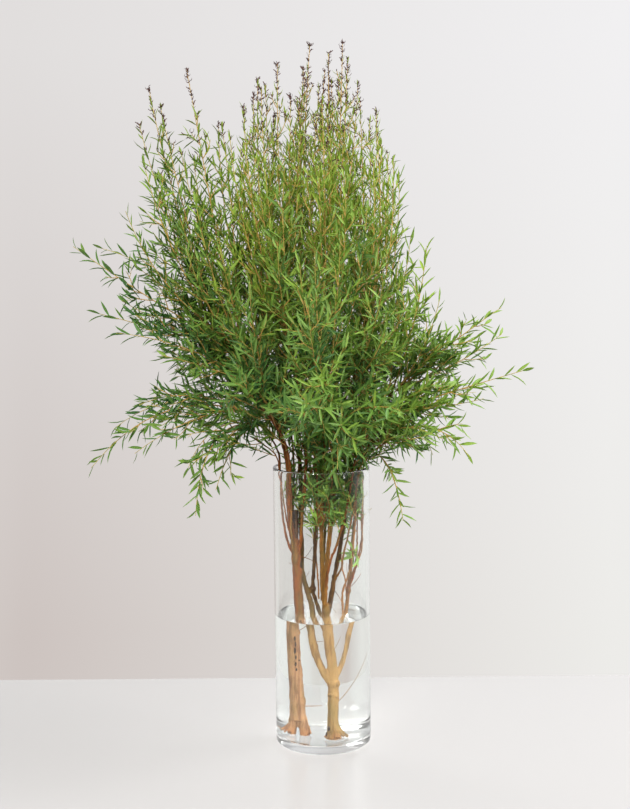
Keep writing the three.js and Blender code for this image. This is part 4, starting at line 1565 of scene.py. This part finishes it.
SPRAYS = (
    Spray("spray_top_1", "middle", 1, (0.022, 0.002, 0.600), (0.025, 0, 0.716), Kind.PLUME),
    Spray("spray_top_2", "dark", 1, (-0.018, 0.034, 0.590), (-0.008, 0.026, 0.720), Kind.PLUME),
    Spray("spray_top_3", "inner", 1, (-0.042, -0.016, 0.560), (-0.040, -0.012, 0.694), Kind.PLUME),
    Spray("spray_top_4", "rear", 0.84, (-0.064, 0.016, 0.540), (-0.062, 0.032, 0.687), Kind.PLUME),
    Spray("spray_top_5", "next", 1, (0.048, 0.022, 0.560), (0.043, 0.034, 0.667), Kind.PLUME),
    Spray("spray_top_6", "next", 0.82, (0.070, -0.032, 0.474), (0.058, -0.016, 0.631), Kind.PLUME),
    Spray("spray_top_7", "middle", 0.84, (0.006, -0.058, 0.530), (0.004, -0.070, 0.649), Kind.PLUME),
    Spray("spray_top_8", "crossing", 1, (-0.040, 0.084, 0.560), (-0.019, 0.086, 0.673), Kind.PLUME),
    Spray("spray_top_9", "inner", 0.82, (-0.070, -0.046, 0.520), (-0.072, -0.046, 0.648), Kind.PLUME),
    Spray("spray_top_10", "dark", 0.8, (0.024, 0.060, 0.520), (0.014, 0.062, 0.690), Kind.PLUME),
    Spray("spray_upper_left_1", "main", 1, (-0.150, 0.006, 0.560), (-0.171, 0.010, 0.675), Kind.LOOSE),
    Spray("spray_upper_left_2", "main", 0.86, (-0.108, -0.016, 0.560), (-0.129, -0.020, 0.688), Kind.LOOSE),
    Spray("spray_upper_left_3", "rear", 1, (-0.104, 0.050, 0.520), (-0.105, 0.052, 0.646), Kind.LOOSE),
    Spray("spray_upper_left_4", "main", 0.94, (-0.150, -0.040, 0.500), (-0.170, -0.046, 0.597), Kind.LOOSE),
    Spray("spray_left_1", "main", 0.9, (-0.165, -0.004, 0.456), (-0.248, -0.010, 0.517), Kind.SIDE),
    Spray("spray_left_2", "rear", 0.68, (-0.146, 0.042, 0.500), (-0.233, 0.046, 0.518), Kind.SIDE),
    Spray("spray_left_3", "main", 0.8, (-0.150, 0.016, 0.430), (-0.231, 0.006, 0.450), Kind.SIDE),
    Spray("spray_left_4", "main", 0.7, (-0.130, -0.034, 0.424), (-0.199, -0.056, 0.431), Kind.SIDE),
    Spray("spray_low_left_1", "outer", 1, (-0.170, -0.008, 0.372), (-0.234, -0.020, 0.293), Kind.SIDE),
    Spray("spray_low_left_2", "outer", 0.84, (-0.120, -0.024, 0.350), (-0.127, -0.036, 0.246), Kind.SIDE),
    Spray("spray_low_left_3", "back", 0.8, (-0.150, 0.052, 0.384), (-0.222, 0.046, 0.325), Kind.SIDE),
    Spray("spray_right_1", "leaning", 0.86, (0.084, 0.010, 0.480), (0.082, 0.010, 0.588), Kind.LOOSE),
    Spray("spray_right_2", "right", 0.9, (0.098, -0.028, 0.430), (0.107, -0.026, 0.514), Kind.LOOSE),
    Spray("spray_right_3", "leaning", 1, (0.098, 0.062, 0.420), (0.109, 0.070, 0.469), Kind.LOOSE),
    Spray("spray_right_4", "right", 1, (0.150, -0.012, 0.430), (0.182, -0.020, 0.452), Kind.SIDE),
    Spray("spray_right_5", "right", 0.94, (0.150, 0.034, 0.392), (0.193, 0.046, 0.423), Kind.SIDE),
    Spray("spray_right_6", "right", 0.84, (0.150, -0.038, 0.376), (0.203, -0.046, 0.391), Kind.SIDE),
    Spray("spray_low_right_1", "wall", 1, (0.118, -0.040, 0.350), (0.146, -0.056, 0.306), Kind.SIDE),
    Spray("spray_low_right_2", "leaning", 0.74, (0.104, 0.040, 0.350), (0.119, 0.038, 0.295), Kind.SIDE),
    Spray("spray_low_right_3", "wall", 0.86, (0.074, -0.018, 0.306), (0.083, -0.022, 0.236), Kind.SMALL),
    Spray("spray_front_1", "inner", 0.7, (-0.040, -0.080, 0.500), (-0.031, -0.116, 0.583), Kind.BODY),
    Spray("spray_front_2", "middle", 0.7, (0.028, -0.090, 0.480), (0.024, -0.116, 0.578), Kind.BODY),
    Spray("spray_front_3", "forward", 1, (-0.004, -0.130, 0.440), (-0.004, -0.166, 0.504), Kind.BODY),
    Spray("spray_front_4", "forward", 0.9, (-0.008, -0.140, 0.372), (-0.016, -0.204, 0.374), Kind.BODY),
    Spray("spray_front_5", "forward", 0.78, (0.018, -0.090, 0.350), (0.015, -0.116, 0.304), Kind.SIDE),
    Spray("spray_front_6", "next", 0.66, (0.060, -0.096, 0.366), (0.072, -0.140, 0.361), Kind.SIDE),
    Spray("spray_front_7", "front", 1, (-0.072, -0.110, 0.386), (-0.077, -0.140, 0.387), Kind.SIDE),
    Spray("spray_front_8", "front", 0.88, (-0.066, -0.090, 0.430), (-0.064, -0.122, 0.478), Kind.BODY),
    Spray("spray_front_9", "next", 0.74, (0.056, -0.080, 0.430), (0.058, -0.122, 0.480), Kind.BODY),
    Spray("spray_front_10", "main", 0.76, (-0.104, -0.066, 0.470), (-0.116, -0.088, 0.556), Kind.LOOSE),
    Spray("spray_back_1", "crossing", 0.9, (-0.060, 0.118, 0.474), (-0.054, 0.116, 0.602), Kind.BODY),
    Spray("spray_back_2", "leaning", 0.92, (0.040, 0.100, 0.500), (0.029, 0.120, 0.598), Kind.BODY),
    Spray("spray_back_3", "behind", 1, (-0.002, 0.130, 0.440), (-0.011, 0.170, 0.506), Kind.BODY),
    Spray("spray_back_4", "back", 1, (-0.092, 0.122, 0.410), (-0.110, 0.150, 0.428), Kind.SIDE),
    Spray("spray_back_5", "behind", 0.9, (0.070, 0.112, 0.384), (0.092, 0.150, 0.402), Kind.SIDE),
    Spray("spray_back_6", "behind", 0.78, (-0.010, 0.130, 0.360), (-0.013, 0.194, 0.342), Kind.SIDE),
    Spray("shoot_in_vase_1", "right", 0.42, (0.032, -0.008, 0.186), (0.034, -0.012, 0.205), Kind.SMALL),
    Spray("shoot_in_vase_2", "leaning", 0.5, (0.032, 0.014, 0.246), (0.038, 0.016, 0.272), Kind.SMALL),
    Spray("shoot_in_vase_3", "dark", 0.5, (-0.012, 0.020, 0.244), (-0.012, 0.022, 0.272), Kind.SMALL),
    Spray("shoot_in_vase_4", "behind", 0.5, (0.012, 0.030, 0.246), (0.018, 0.033, 0.272), Kind.SMALL),
)


@dataclass
class Foliage:
    """Every leafy spray, from patterns modelled once: leaves, twigs and withered buds.

    Pairs of radii and of youth are at a twig's root and at its tip. A stem is bare up to a share of its
    length. The bush dries between two heights, and its highest twigs shed leaves and carry buds.
    """

    stem_youth: tuple[float, float] = (0.12, 0.90)
    follower_width: float = 0.7
    follower_shoots: float = 0.8
    bare_stem: float = 0.16
    bare_small: float = 0.1
    stray: float = 0.024
    plume_stray: float = 0.75
    stem_shade: float = 0.22
    shoot_radii: tuple[float, float] = (0.00050, 0.00026)
    shoot_youth: tuple[float, float] = (0.32, 0.95)
    shoot_shade: float = 0.18
    shortest_shoot: float = 0.013
    twiglet_radii: tuple[float, float] = (0.00036, 0.00021)
    twiglet_youth: tuple[float, float] = (0.55, 1.0)
    twiglet_spacing: float = 0.012
    twiglet_length: float = 0.020
    limb_spacing: float = 0.0095
    limb_crowding: float = 1.5
    limb_shoot: float = 0.027
    limb_shoot_above: float = 0.025
    dry_from: float = 0.56
    dry_to: float = 0.70
    shed: float = 0.60
    shed_from: float = 0.62
    leaf_dryness: float = 0.45
    bud_spacing: float = 0.0030
    bud_reach: float = 0.65
    bud_crowding: float = 1.7
    bud_chance: float = 0.85
    bud_share: float = 0.8
    bud_size: tuple[float, float] = (0.0019, 0.0033)
    scrap_size: tuple[float, float] = (0.0040, 0.0078)
    scrap_width: float = 0.16
    inner_wall: float = VASE_RADIUS - GLASS_WALL
    leaf_gap: float = 0.0012
    shoot_gap: float = 0.0015

    def __post_init__(self) -> None:
        """Models the patterns."""
        straight = ((0, 0.22, 0), (0.20, 0.72, 0.004), (0.45, 1, 0.010), (0.75, 0.68, 0.004), (1, 0, -0.02))
        arched = ((0, 0.22, 0), (0.20, 0.70, 0.030), (0.45, 1, 0.052), (0.75, 0.66, 0.022), (1, 0, -0.07))
        plain = ((0, 0.25, 0), (0.26, 0.86, 0.010), (0.62, 0.88, 0.014), (1, 0, -0.04))
        lifted = ((0, 0.25, 0), (0.26, 0.86, -0.014), (0.62, 0.88, -0.012), (1, 0, 0.05))
        curled = ((0, 0.25, 0), (0.35, 0.90, 0.20), (0.66, 0.70, 0.16), (0.76, 0, -0.14))
        self.fine_leaves = [self.leaf(rows) for rows in (straight, arched)]
        self.plain_leaves = [self.leaf(rows) for rows in (plain, lifted)]
        self.withered = self.leaf(curled)
        self.stem = TwigShape(6, 14).build()
        self.shoot = TwigShape(4, 6).build()
        self.twiglet = TwigShape(3, 3).build()
        self.bud = BudShape().build()

    @staticmethod
    def leaf(rows: Sequence[Point]) -> Pattern:
        """Models a leaf from its rows."""
        return LeafShape(tuple(LeafRow(*row) for row in rows)).build()

    def add_twig(
        self, heap: Heap, shape: Pattern, path: Path, radii: tuple[float, float], youth: tuple[float, float]
    ) -> None:
        """Bends a copy of a straight twig along a path.

        Args:
            heap: the spray's mesh so far.
            shape: the straight twig.
            path: where it grows.
            radii: at its root and its tip.
            youth: at its root and its tip.
        """
        shares = shape.points[:, 2]
        headings = path.heading(shares)
        lean = unit(path.points[-1] - path.points[0])
        steady = np.array([1.0, 0.0, 0.0]) if abs(lean[0]) < 0.7 else np.array([0.0, 1.0, 0.0])
        across = unit(np.cross(steady, headings))
        over = np.cross(headings, across)
        width = radii[0] + (radii[1] - radii[0]) * shares
        points = path.at(shares)
        points = points + across * (shape.points[:, 0] * width)[:, None]
        points = points + over * (shape.points[:, 1] * width)[:, None]
        heap.add(
            points[None], shape.faces, TWIG,
            youth=(youth[0] + (youth[1] - youth[0]) * shares)[None],
            dryness=self.dryness(points)[None],
        )

    def dryness(self, points: Array) -> Array:
        """How dry the bush is at some points: only its highest tips are."""
        return smooth_step(self.dry_from, self.dry_to, points[:, 2])

    def add_leaves(
        self, heap: Heap, habit: Habit, path: Path, first: float, rng: np.random.Generator,
        size: float, youth: float, fine: bool = False, shade: float = 0.0,
    ) -> None:
        """Sets leaves in a spiral along a twig.

        Args:
            heap: the spray's mesh so far.
            habit: how the spray grows.
            path: the twig.
            first: the share of the twig that stays bare.
            rng: the spray's own draws.
            size: scales the leaves.
            youth: how young the twig is, from 0 to 1.
            fine: draws the leaves with more faces.
            shade: how much paler the twig's leaves are than most, below 0 where they are deeper.
        """
        count = int(path.length * (1 - first) / habit.spacing) + 1
        shares = first + (1 - first) * (np.arange(count) + 0.5 * rng.random(count)) / count
        places, headings = path.at(shares), path.heading(shares)
        turns = GOLDEN_ANGLE * np.arange(count) + rng.uniform(0, math.tau) + rng.normal(0, 0.25, count)
        side = sideways(headings, turns)
        angle = habit.leaf_angle * rng.uniform(0.6, 1.35, count) * (1 - 0.35 * smooth_step(0.8, 1.0, shares))
        forward = headings * np.cos(angle)[:, None] + side * np.sin(angle)[:, None]
        forward[:, 2] += 0.5 * habit.rise * rng.random(count)
        forward = self.turned_in(places, unit(forward), habit.leaf * size * 1.1)
        inner = headings * np.sin(angle)[:, None] - side * np.cos(angle)[:, None]
        up = rng.uniform(0.2, 1.1, count)[:, None] * np.array([0.0, -0.25, 1.0])
        face = inner + up + rng.normal(0, 0.25, (count, 3))
        face = unit(face - forward * np.sum(face * forward, axis=1, keepdims=True))
        across = np.cross(forward, face)
        dry = habit.dryness * self.dryness(places)
        length = habit.leaf * size * rng.uniform(0.72, 1.22, count) * (1 - 0.22 * dry)
        length *= 1 - 0.25 * smooth_step(0.85, 1.0, shares)
        width = habit.width * rng.uniform(0.8, 1.15, count) * (1 - 0.22 * dry) * (0.6 + 0.4 * size)
        # Each leaf's youth also takes painted light and shade for its place.
        youth_and_painted_light = youth + self.painted_light_by_place(places) + 0.30 * (shares - 0.5) + rng.normal(0, 0.10, count)
        youth_and_painted_light = np.clip(youth_and_painted_light, 0, 1)
        shapes = self.fine_leaves if fine else self.plain_leaves
        choice = rng.integers(0, len(shapes), count)
        # Besides its random spread, the tint takes painted shade deep inside the bush.
        tint = np.clip(rng.normal(0.55 + shade, 0.20, count) - 0.5 * self.painted_inner_shade(places), 0, 1)
        clear = self.clear_of_glass(places, places + forward * length[:, None])
        clear &= rng.random(count) > self.shed * dry * smooth_step(self.shed_from, self.dry_to, places[:, 2])
        for k, shape in enumerate(shapes):
            chosen = (choice == k) & clear
            if not chosen.any():
                continue
            x, y, z = shape.points.T
            points = (
                places[chosen, None]
                + across[chosen, None] * (x[None] * width[chosen, None])[..., None]
                + forward[chosen, None] * (y[None] * length[chosen, None])[..., None]
                + face[chosen, None] * (z[None] * length[chosen, None])[..., None]
            )
            heap.add(
                points, shape.faces, LEAF,
                across=shape.numbers["across"][None], tint=tint[chosen, None],
                youth=youth_and_painted_light[chosen, None], dryness=self.leaf_dryness * dry[chosen, None],
            )

    @staticmethod
    def painted_light_by_place(points: Array) -> Array:
        """Painted light on the leaves by their place: yellower and lighter on the right and high up, darker
        on the far left and a little darker low in front.

        Args:
            points: where the leaves grow.

        Returns:
            What is added to their youth, which carries this painted light and shade into the leaves' colour.
        """
        right = smooth_step(0.02, 0.16, points[:, 0])
        left = smooth_step(-0.11, -0.20, points[:, 0]) * smooth_step(0.58, 0.50, points[:, 2])
        high = smooth_step(0.42, 0.62, points[:, 2])
        low_front = smooth_step(0.46, 0.34, points[:, 2]) * smooth_step(-0.02, -0.09, points[:, 1])
        return 0.26 * right - 0.20 * left + 0.24 * high - 0.06 * low_front

    @staticmethod
    def painted_inner_shade(points: Array) -> Array:
        """How deep inside the bush some points lie, where the leaves are painted darker: painted shade in the
        dense middle.
        """
        middle = smooth_step(0.10, 0.03, np.hypot(points[:, 0] + 0.01, points[:, 1]))
        return middle * smooth_step(0.60, 0.48, points[:, 2]) * smooth_step(0.28, 0.36, points[:, 2])

    def turned_in(self, roots: Array, forward: Array, length: float) -> Array:
        """Turns the leaves that would meet the vase's wall back towards the middle.

        Args:
            roots: where the leaves grow.
            forward: their unit directions.
            length: how far they reach.

        Returns:
            The new directions.
        """
        outward = unit(roots * np.array([1.0, 1.0, 0.0]))
        lean = np.sum(forward * outward, axis=1)
        meets = ~self.clear_of_glass(roots, roots + forward * length) & (lean > 0)
        return np.where(meets[:, None], forward - 2 * lean[:, None] * outward, forward)

    def in_glass(self, points: Array, gap: float) -> Array:
        """Says which points lie in the vase's wall or nearer to it than a gap.

        Args:
            points: the points, one row each.
            gap: the gap.

        Returns:
            True or false for each point.
        """
        reach = np.linalg.norm(points[:, :2], axis=1)
        low = points[:, 2] < VASE_HEIGHT + RIM_CLEARANCE
        return low & (reach > self.inner_wall - gap) & (reach < VASE_RADIUS + gap)

    def clear_of_glass(self, roots: Array, tips: Array) -> Array:
        """Says which leaves keep off the vase's wall.

        Args:
            roots: where the leaves grow.
            tips: where they end.

        Returns:
            True or false for each leaf.
        """
        clear = np.ones(len(roots), bool)
        for share in (0.0, 0.35, 0.7, 1.0):
            clear &= ~self.in_glass(roots + (tips - roots) * share, self.leaf_gap)
        return clear

    def add_buds(self, heap: Heap, habit: Habit, path: Path, rng: np.random.Generator) -> None:
        """Sets withered buds and curled scraps along the dry end of a twig, closest at its tip.

        Args:
            heap: the spray's mesh so far.
            habit: how the spray grows.
            path: the twig.
            rng: the spray's own draws.
        """
        count = int(path.length / self.bud_spacing) + 2
        shares = 1 - self.bud_reach * rng.random(count) ** self.bud_crowding
        places = path.at(shares)
        chance = habit.dryness * self.dryness(places) * smooth_step(0.2, 0.9, shares)
        kept = rng.random(count) < chance * self.bud_chance
        shares, places = shares[kept], places[kept]
        count = len(shares)
        if not count:
            return
        headings = path.heading(shares)
        side = sideways(headings, rng.uniform(0, math.tau, count))
        forward = unit(headings * 0.7 + side * rng.uniform(0.4, 1.1, count)[:, None])
        face = unit(np.cross(forward, rng.normal(0, 1, (count, 3))))
        across = np.cross(forward, face)
        kinds = ((self.bud, self.bud_size, 1.0), (self.withered, self.scrap_size, self.scrap_width))
        for shape, sizes, slimness in kinds:
            chosen = rng.random(count) < self.bud_share
            size = rng.uniform(*sizes, count)[chosen, None, None]
            x, y, z = (axis[None, :, None] for axis in shape.points.T)
            points = (
                places[chosen, None]
                + across[chosen, None] * x * (size * slimness)
                + forward[chosen, None] * y * size
                + face[chosen, None] * z * size
            )
            heap.add(points, shape.faces, BUD)

    def side_path(
        self, stem: Path, share: float, turn: float, length: float, rise: float
    ) -> Path:
        """The path of a shoot that leaves a stem and settles towards its direction.

        Args:
            stem: what it grows from.
            share: how far along the stem.
            turn: its turn about the stem.
            length: its length.
            rise: how much it bends up.

        Returns:
            The shoot's path.
        """
        root, heading = stem.at(share)[0], stem.heading(share)
        side = sideways(heading, np.array([turn]))[0]
        leave = heading[0] * math.cos(SHOOT_ANGLE) + side * math.sin(SHOOT_ANGLE)
        settled = unit(heading[0] + side * SHOOT_SPREAD + np.array([0, 0, rise]))
        knee = root + leave * length / 2
        return Path.arc(root, knee, knee + settled * length / 2, 10)

    def stems(self, spray: Spray, habit: Habit, rng: np.random.Generator) -> list[Path]:
        """The spray's own stem and its thinner followers, which stray from it and stop short of its tip.

        Args:
            spray: the spray.
            habit: how it grows.
            rng: the spray's own draws.

        Returns:
            The stems' paths, the first one first.
        """
        start = LIMBS[spray.limb].path().at(spray.along)[0]
        bend, tip = np.array(spray.bend), np.array(spray.tip)
        first = Path.arc(start, bend, tip)
        heading = unit(tip - start)[None]
        paths = [first]
        for k in range(habit.followers):
            reach = rng.uniform(*habit.reach)
            turn = np.array([math.tau * (k + rng.random()) / habit.followers])
            stray = sideways(heading, turn)[0] * self.stray * rng.uniform(0.7, 1.3)
            if spray.kind is Kind.PLUME:
                stray = stray * self.plume_stray
            end = first.at(reach)[0] + stray
            knee = start + (bend - start) * reach + stray * 0.9
            paths.append(Path.arc(start, knee, end))
        return paths

    def grow(self, spray: Spray, order: int, materials: Sequence[Material]) -> Piece:
        """Grows one spray.

        Args:
            spray: the spray.
            order: its number in the list, which seeds its draws.
            materials: leaf, twig and bud.

        Returns:
            The finished piece.
        """
        habit = HABITS[spray.kind]
        rng = np.random.default_rng(SEED + order)
        heap = Heap()
        for number, stem in enumerate(self.stems(spray, habit, rng)):
            first = number == 0
            radii = (STEM_RADIUS if first else STEM_RADIUS * self.follower_width, STEM_TIP_RADIUS)
            self.add_twig(heap, self.stem, stem, radii, self.stem_youth)
            bare = self.bare_stem if spray.kind != Kind.SMALL else self.bare_small
            fine = first and spray.kind in (Kind.SIDE, Kind.BODY, Kind.LOOSE)
            shade = rng.normal(0, self.stem_shade)
            self.add_leaves(heap, habit, stem, bare, rng, 1.05, habit.youth + 0.5 * shade, fine, shade)
            self.add_buds(heap, habit, stem, rng)
            thinning = 1 if first else self.follower_shoots
            count = int(stem.length / SHOOT_SPACING * (SHOOT_LAST - SHOOT_FIRST) * thinning + 0.5)
            seed = order + 100 * number
            for i in range(count):
                share = SHOOT_FIRST + (SHOOT_LAST - SHOOT_FIRST) * (i + 0.5 * draw(seed, i, 1)) / count
                turn = GOLDEN_ANGLE * i + SHOOT_WANDER * draw(seed, i, 2)
                taper = min(1.0, 0.55 + 1.5 * share) * max(0.0, habit.taper - share)
                length = habit.shoot * taper * (0.75 + 0.5 * draw(seed, i, 3))
                if length > self.shortest_shoot:
                    shoot = self.side_path(stem, share, turn, length, habit.rise)
                    self.grow_shoot(heap, habit, shoot, share, rng, fine, shade)
        piece = heap.mesh(spray.name + "_leafy", materials)
        settle(piece, habit.slot, spray.name)
        return piece

    def grow_shoot(
        self, heap: Heap, habit: Habit, shoot: Path, share: float, rng: np.random.Generator,
        fine: bool = False, shade: float = 0.0,
    ) -> None:
        """Dresses one side shoot with leaves, twiglets and buds.

        Args:
            heap: the spray's mesh so far.
            habit: how the spray grows.
            shoot: the shoot's path.
            share: how far along the stem it grows.
            rng: the spray's own draws.
            fine: draws the leaves with more faces.
            shade: how much paler its stem's leaves are than most.
        """
        shade = shade + rng.normal(0, self.shoot_shade)
        youth = float(np.clip(habit.youth + 0.25 * (share - 0.5) + 0.5 * shade + rng.normal(0, 0.06), 0, 1))
        self.add_twig(heap, self.shoot, shoot, self.shoot_radii, self.shoot_youth)
        self.add_leaves(heap, habit, shoot, 0.08, rng, 1.0, youth, fine, shade)
        self.add_buds(heap, habit, shoot, rng)
        count = int(shoot.length * 0.8 / self.twiglet_spacing)
        for k in range(count):
            along = 0.12 + 0.74 * (k + rng.random()) / count
            length = self.twiglet_length * (1.15 - along) * rng.uniform(0.7, 1.3)
            turn = GOLDEN_ANGLE * k * 1.3 + rng.uniform(0, math.tau)
            twiglet = self.side_path(shoot, along, turn, length, habit.rise)
            self.add_twig(heap, self.twiglet, twiglet, self.twiglet_radii, self.twiglet_youth)
            self.add_leaves(heap, habit, twiglet, 0.12, rng, 0.88, min(1.0, youth + 0.10), shade=shade)
            self.add_buds(heap, habit, twiglet, rng)

    def dress_limbs(
        self, name: str, node: str, limbs: Sequence[Limb], seed: int, materials: Sequence[Material]
    ) -> Piece:
        """Sets leafy shoots straight on the limbs, short inside the vase and longer above its rim.

        Args:
            name: the piece's name.
            node: the branch that the limbs belong to.
            limbs: the limbs.
            seed: seeds the draws.
            materials: leaf, twig and bud.

        Returns:
            The finished piece.
        """
        rng = np.random.default_rng(seed)
        heap = Heap()
        for limb in limbs:
            path = limb.path()
            count = int(path.length / self.limb_spacing * self.limb_crowding)
            for i in range(count):
                share = min(1.0, (i + rng.random()) / count)
                height = path.at(share)[0][2]
                above = float(smooth_step(VASE_HEIGHT - 0.006, VASE_HEIGHT + 0.050, height))
                if height < limb.leafy_from or rng.random() < (0.33 if above > 0.1 else 0.50):
                    continue
                length = (self.limb_shoot + self.limb_shoot_above * above) * rng.uniform(0.6, 1.3)
                turn = GOLDEN_ANGLE * i + rng.uniform(-0.5, 0.5)
                rise = rng.uniform(-0.35, 0.20) if above < 0.8 else 0.15
                shoot = self.side_path(path, share, turn, length, rise)
                if np.any(self.in_glass(shoot.points, self.shoot_gap)):
                    continue
                habit = HABITS[Kind.SMALL if above < 0.1 else Kind.BODY]
                self.grow_shoot(heap, habit, shoot, 0.35, rng)
        piece = heap.mesh(name, materials)
        settle(piece, "leaf_fresh", node)
        return piece


@dataclass
class Studio:
    """A plain pale table, soft lamps and the camera at the photograph's angle.

    Room and ceiling are how bright the surround is to light that has bounced, below and above.
    """

    focal_pixels: float = 1151.0
    long_side: int = 809
    sensor: float = 36.0
    eye: Point = (0.0, -1.179, 0.4675)
    tilt: float = math.radians(5.5)
    pan: float = math.radians(-0.2835)
    roll: float = math.radians(-0.5256)
    table_back: float = 0.193
    table_front: float = -0.60
    table_wide: float = 2.6
    table_thick: float = 0.022
    table_drop: float = 0.0002
    ceiling: float = 0.38
    room: float = 0.12
    bounces: int = 24

    def table(self) -> None:
        """Lays the table, which ends a little way behind the vase and further off in front."""
        deselect_all()
        depth = self.table_back - self.table_front
        middle = (0, (self.table_back + self.table_front) / 2, -self.table_drop - self.table_thick / 2)
        bpy.ops.mesh.primitive_cube_add(size=1.0, location=middle)
        table = bpy.context.active_object
        table.name = "table"
        table.scale = (self.table_wide, depth, self.table_thick)
        bpy.ops.object.transform_apply(location=True, scale=True)
        apply_modifier(table, "BEVEL", width=0.002, segments=3)
        table.data.materials.append(TableFinish().material())
        table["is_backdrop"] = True

    def lamp(self, name: str, place: Point, target: Point, size: float, power: float, colour: str) -> None:
        """Hangs one soft square lamp.

        Args:
            name: the lamp's name.
            place: where it hangs.
            target: what it faces.
            size: its side.
            power: in watts.
            colour: sRGB hex.
        """
        light = bpy.data.lights.new(name, "AREA")
        light.shape = "SQUARE"
        light.size = size
        light.energy = power
        light.color = srgb(colour)[:3]
        lamp = bpy.data.objects.new(name, light)
        lamp.location = place
        aim = Vector(target) - Vector(place)
        lamp.rotation_euler = aim.to_track_quat("-Z", "Y").to_euler()
        bpy.context.scene.collection.objects.link(lamp)

    def lamps(self) -> None:
        """Lights the set from in front and from the right, with weak fills from the right and from behind."""
        self.lamp("key", (-0.35, -1.8, 1.55), (0, 0, 0.40), 0.7, 44.0, "fffaf3")
        self.lamp("window", (1.8, 0.1, 1.5), (0, 0, 0.40), 1.6, 50.0, "ffffff")
        self.lamp("fill", (1.7, -1.2, 0.9), (0, 0, 0.35), 1.2, 12.0, "f8faff")
        self.lamp("back", (-1.3, 1.6, 1.9), (0, 0, 0.45), 1.2, 16.0, "ffffff")

    def sky(self) -> None:
        """Sets a pale wall all round, brighter to the right and above, and dim from in front once bounced."""
        world = bpy.data.worlds.new("surround")
        bpy.context.scene.world = world
        recipe = Recipe(world, "World")
        direction = recipe.node("ShaderNodeTexCoord").outputs["Generated"]
        parts = recipe.node("ShaderNodeSeparateXYZ", {0: direction}).outputs
        across = recipe.between(parts["X"], -0.24, 0.24, "LINEAR")
        far_left = recipe.between(parts["X"], -0.25, -0.50, "LINEAR")
        low = recipe.mix(across, recipe.mix(far_left, srgb("cdc4c0"), srgb("e6e3df")), srgb("edece9"))
        high = recipe.mix(across, srgb("e1dedd"), srgb("f1f0f1"))
        wall = recipe.mix(recipe.between(parts["Z"], -0.28, 0.20, "LINEAR"), low, high)
        dim, lit = (*[self.room] * 3, 1.0), (*[self.ceiling] * 3, 1.0)
        upper = recipe.mix(recipe.between(parts["Z"], 0.0, 0.5, "LINEAR"), dim, lit)
        depths = recipe.node("ShaderNodeLightPath").outputs
        bounced = recipe.math("ADD", depths["Glossy Depth"], depths["Diffuse Depth"])
        bounced.node.use_clamp = True
        around = recipe.mix(bounced, wall, upper)
        shade = recipe.mix(recipe.between(parts["Y"], -0.30, 0.15, "LINEAR"), around, wall)
        recipe.finish(recipe.node("ShaderNodeBackground", {"Color": shade}).outputs[0])

    def camera(self) -> None:
        """Sets the camera where the photograph was taken from."""
        forward = Vector(
            (
                math.sin(self.pan) * math.cos(self.tilt),
                math.cos(self.pan) * math.cos(self.tilt),
                -math.sin(self.tilt),
            )
        )
        level = Vector((math.cos(self.pan), -math.sin(self.pan), 0.0))
        upright = level.cross(forward)
        right = level * math.cos(self.roll) + upright * math.sin(self.roll)
        up = upright * math.cos(self.roll) - level * math.sin(self.roll)
        data = bpy.data.cameras.new("camera")
        data.sensor_width = self.sensor
        data.lens = self.focal_pixels / self.long_side * self.sensor
        camera = bpy.data.objects.new("camera", data)
        turn = Matrix((right, up, -forward)).transposed().to_4x4()
        camera.matrix_world = Matrix.Translation(self.eye) @ turn
        bpy.context.scene.collection.objects.link(camera)
        bpy.context.scene.camera = camera

    def build(self) -> None:
        """Sets up the whole studio."""
        self.table()
        self.lamps()
        self.sky()
        self.camera()
        scene = bpy.context.scene
        scene.view_settings.view_transform = "Standard"
        scene.cycles.max_bounces = self.bounces
        scene.cycles.transmission_bounces = self.bounces
        scene.cycles.caustics_reflective = False


def main() -> None:
    """Builds every piece in order."""
    logging.basicConfig(level=logging.INFO, format="%(message)s")
    Studio().build()
    Vase().build()
    Water().build()
    dark = HollowFinish().material()
    Branch(
        "wood_left", "branch_left", "bark_red", LEFT_LIMBS, LEFT_TWIGS, LEFT_KNOTS, LEFT_SCARS, LEFT_STRANDS,
        LEFT_ROOTS, srgb("b08a64"), stub=LIMBS["stub"],
    ).build(BarkFinish("bark_reddish").material(), dark)
    Branch(
        "wood_right", "branch_right", "bark_ochre", RIGHT_LIMBS, RIGHT_TWIGS, RIGHT_KNOTS, RIGHT_SCARS,
        RIGHT_STRANDS, RIGHT_ROOTS, srgb("a58452"), torn_wood=srgb("7d4f2c"),
    ).build(BarkFinish("bark_ochre", streak="69481f").material(), dark)
    foliage = Foliage()
    materials = [LeafFinish().material(), TwigFinish().material(), BudFinish().material()]
    for order, spray in enumerate(SPRAYS):
        foliage.grow(spray, order, materials)
    for side, limbs in (("left", LEFT_LIMBS + LEFT_TWIGS), ("right", RIGHT_LIMBS + RIGHT_TWIGS)):
        node = "branch_" + side
        foliage.dress_limbs(side + "_limb_leaves", node, limbs, SEED + len(node), materials)
    total = 0
    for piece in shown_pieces():
        piece.data.calc_loop_triangles()
        total += len(piece.data.loop_triangles)
    log.info("all pieces: %d triangles", total)


if __name__ == "__main__":
    main()
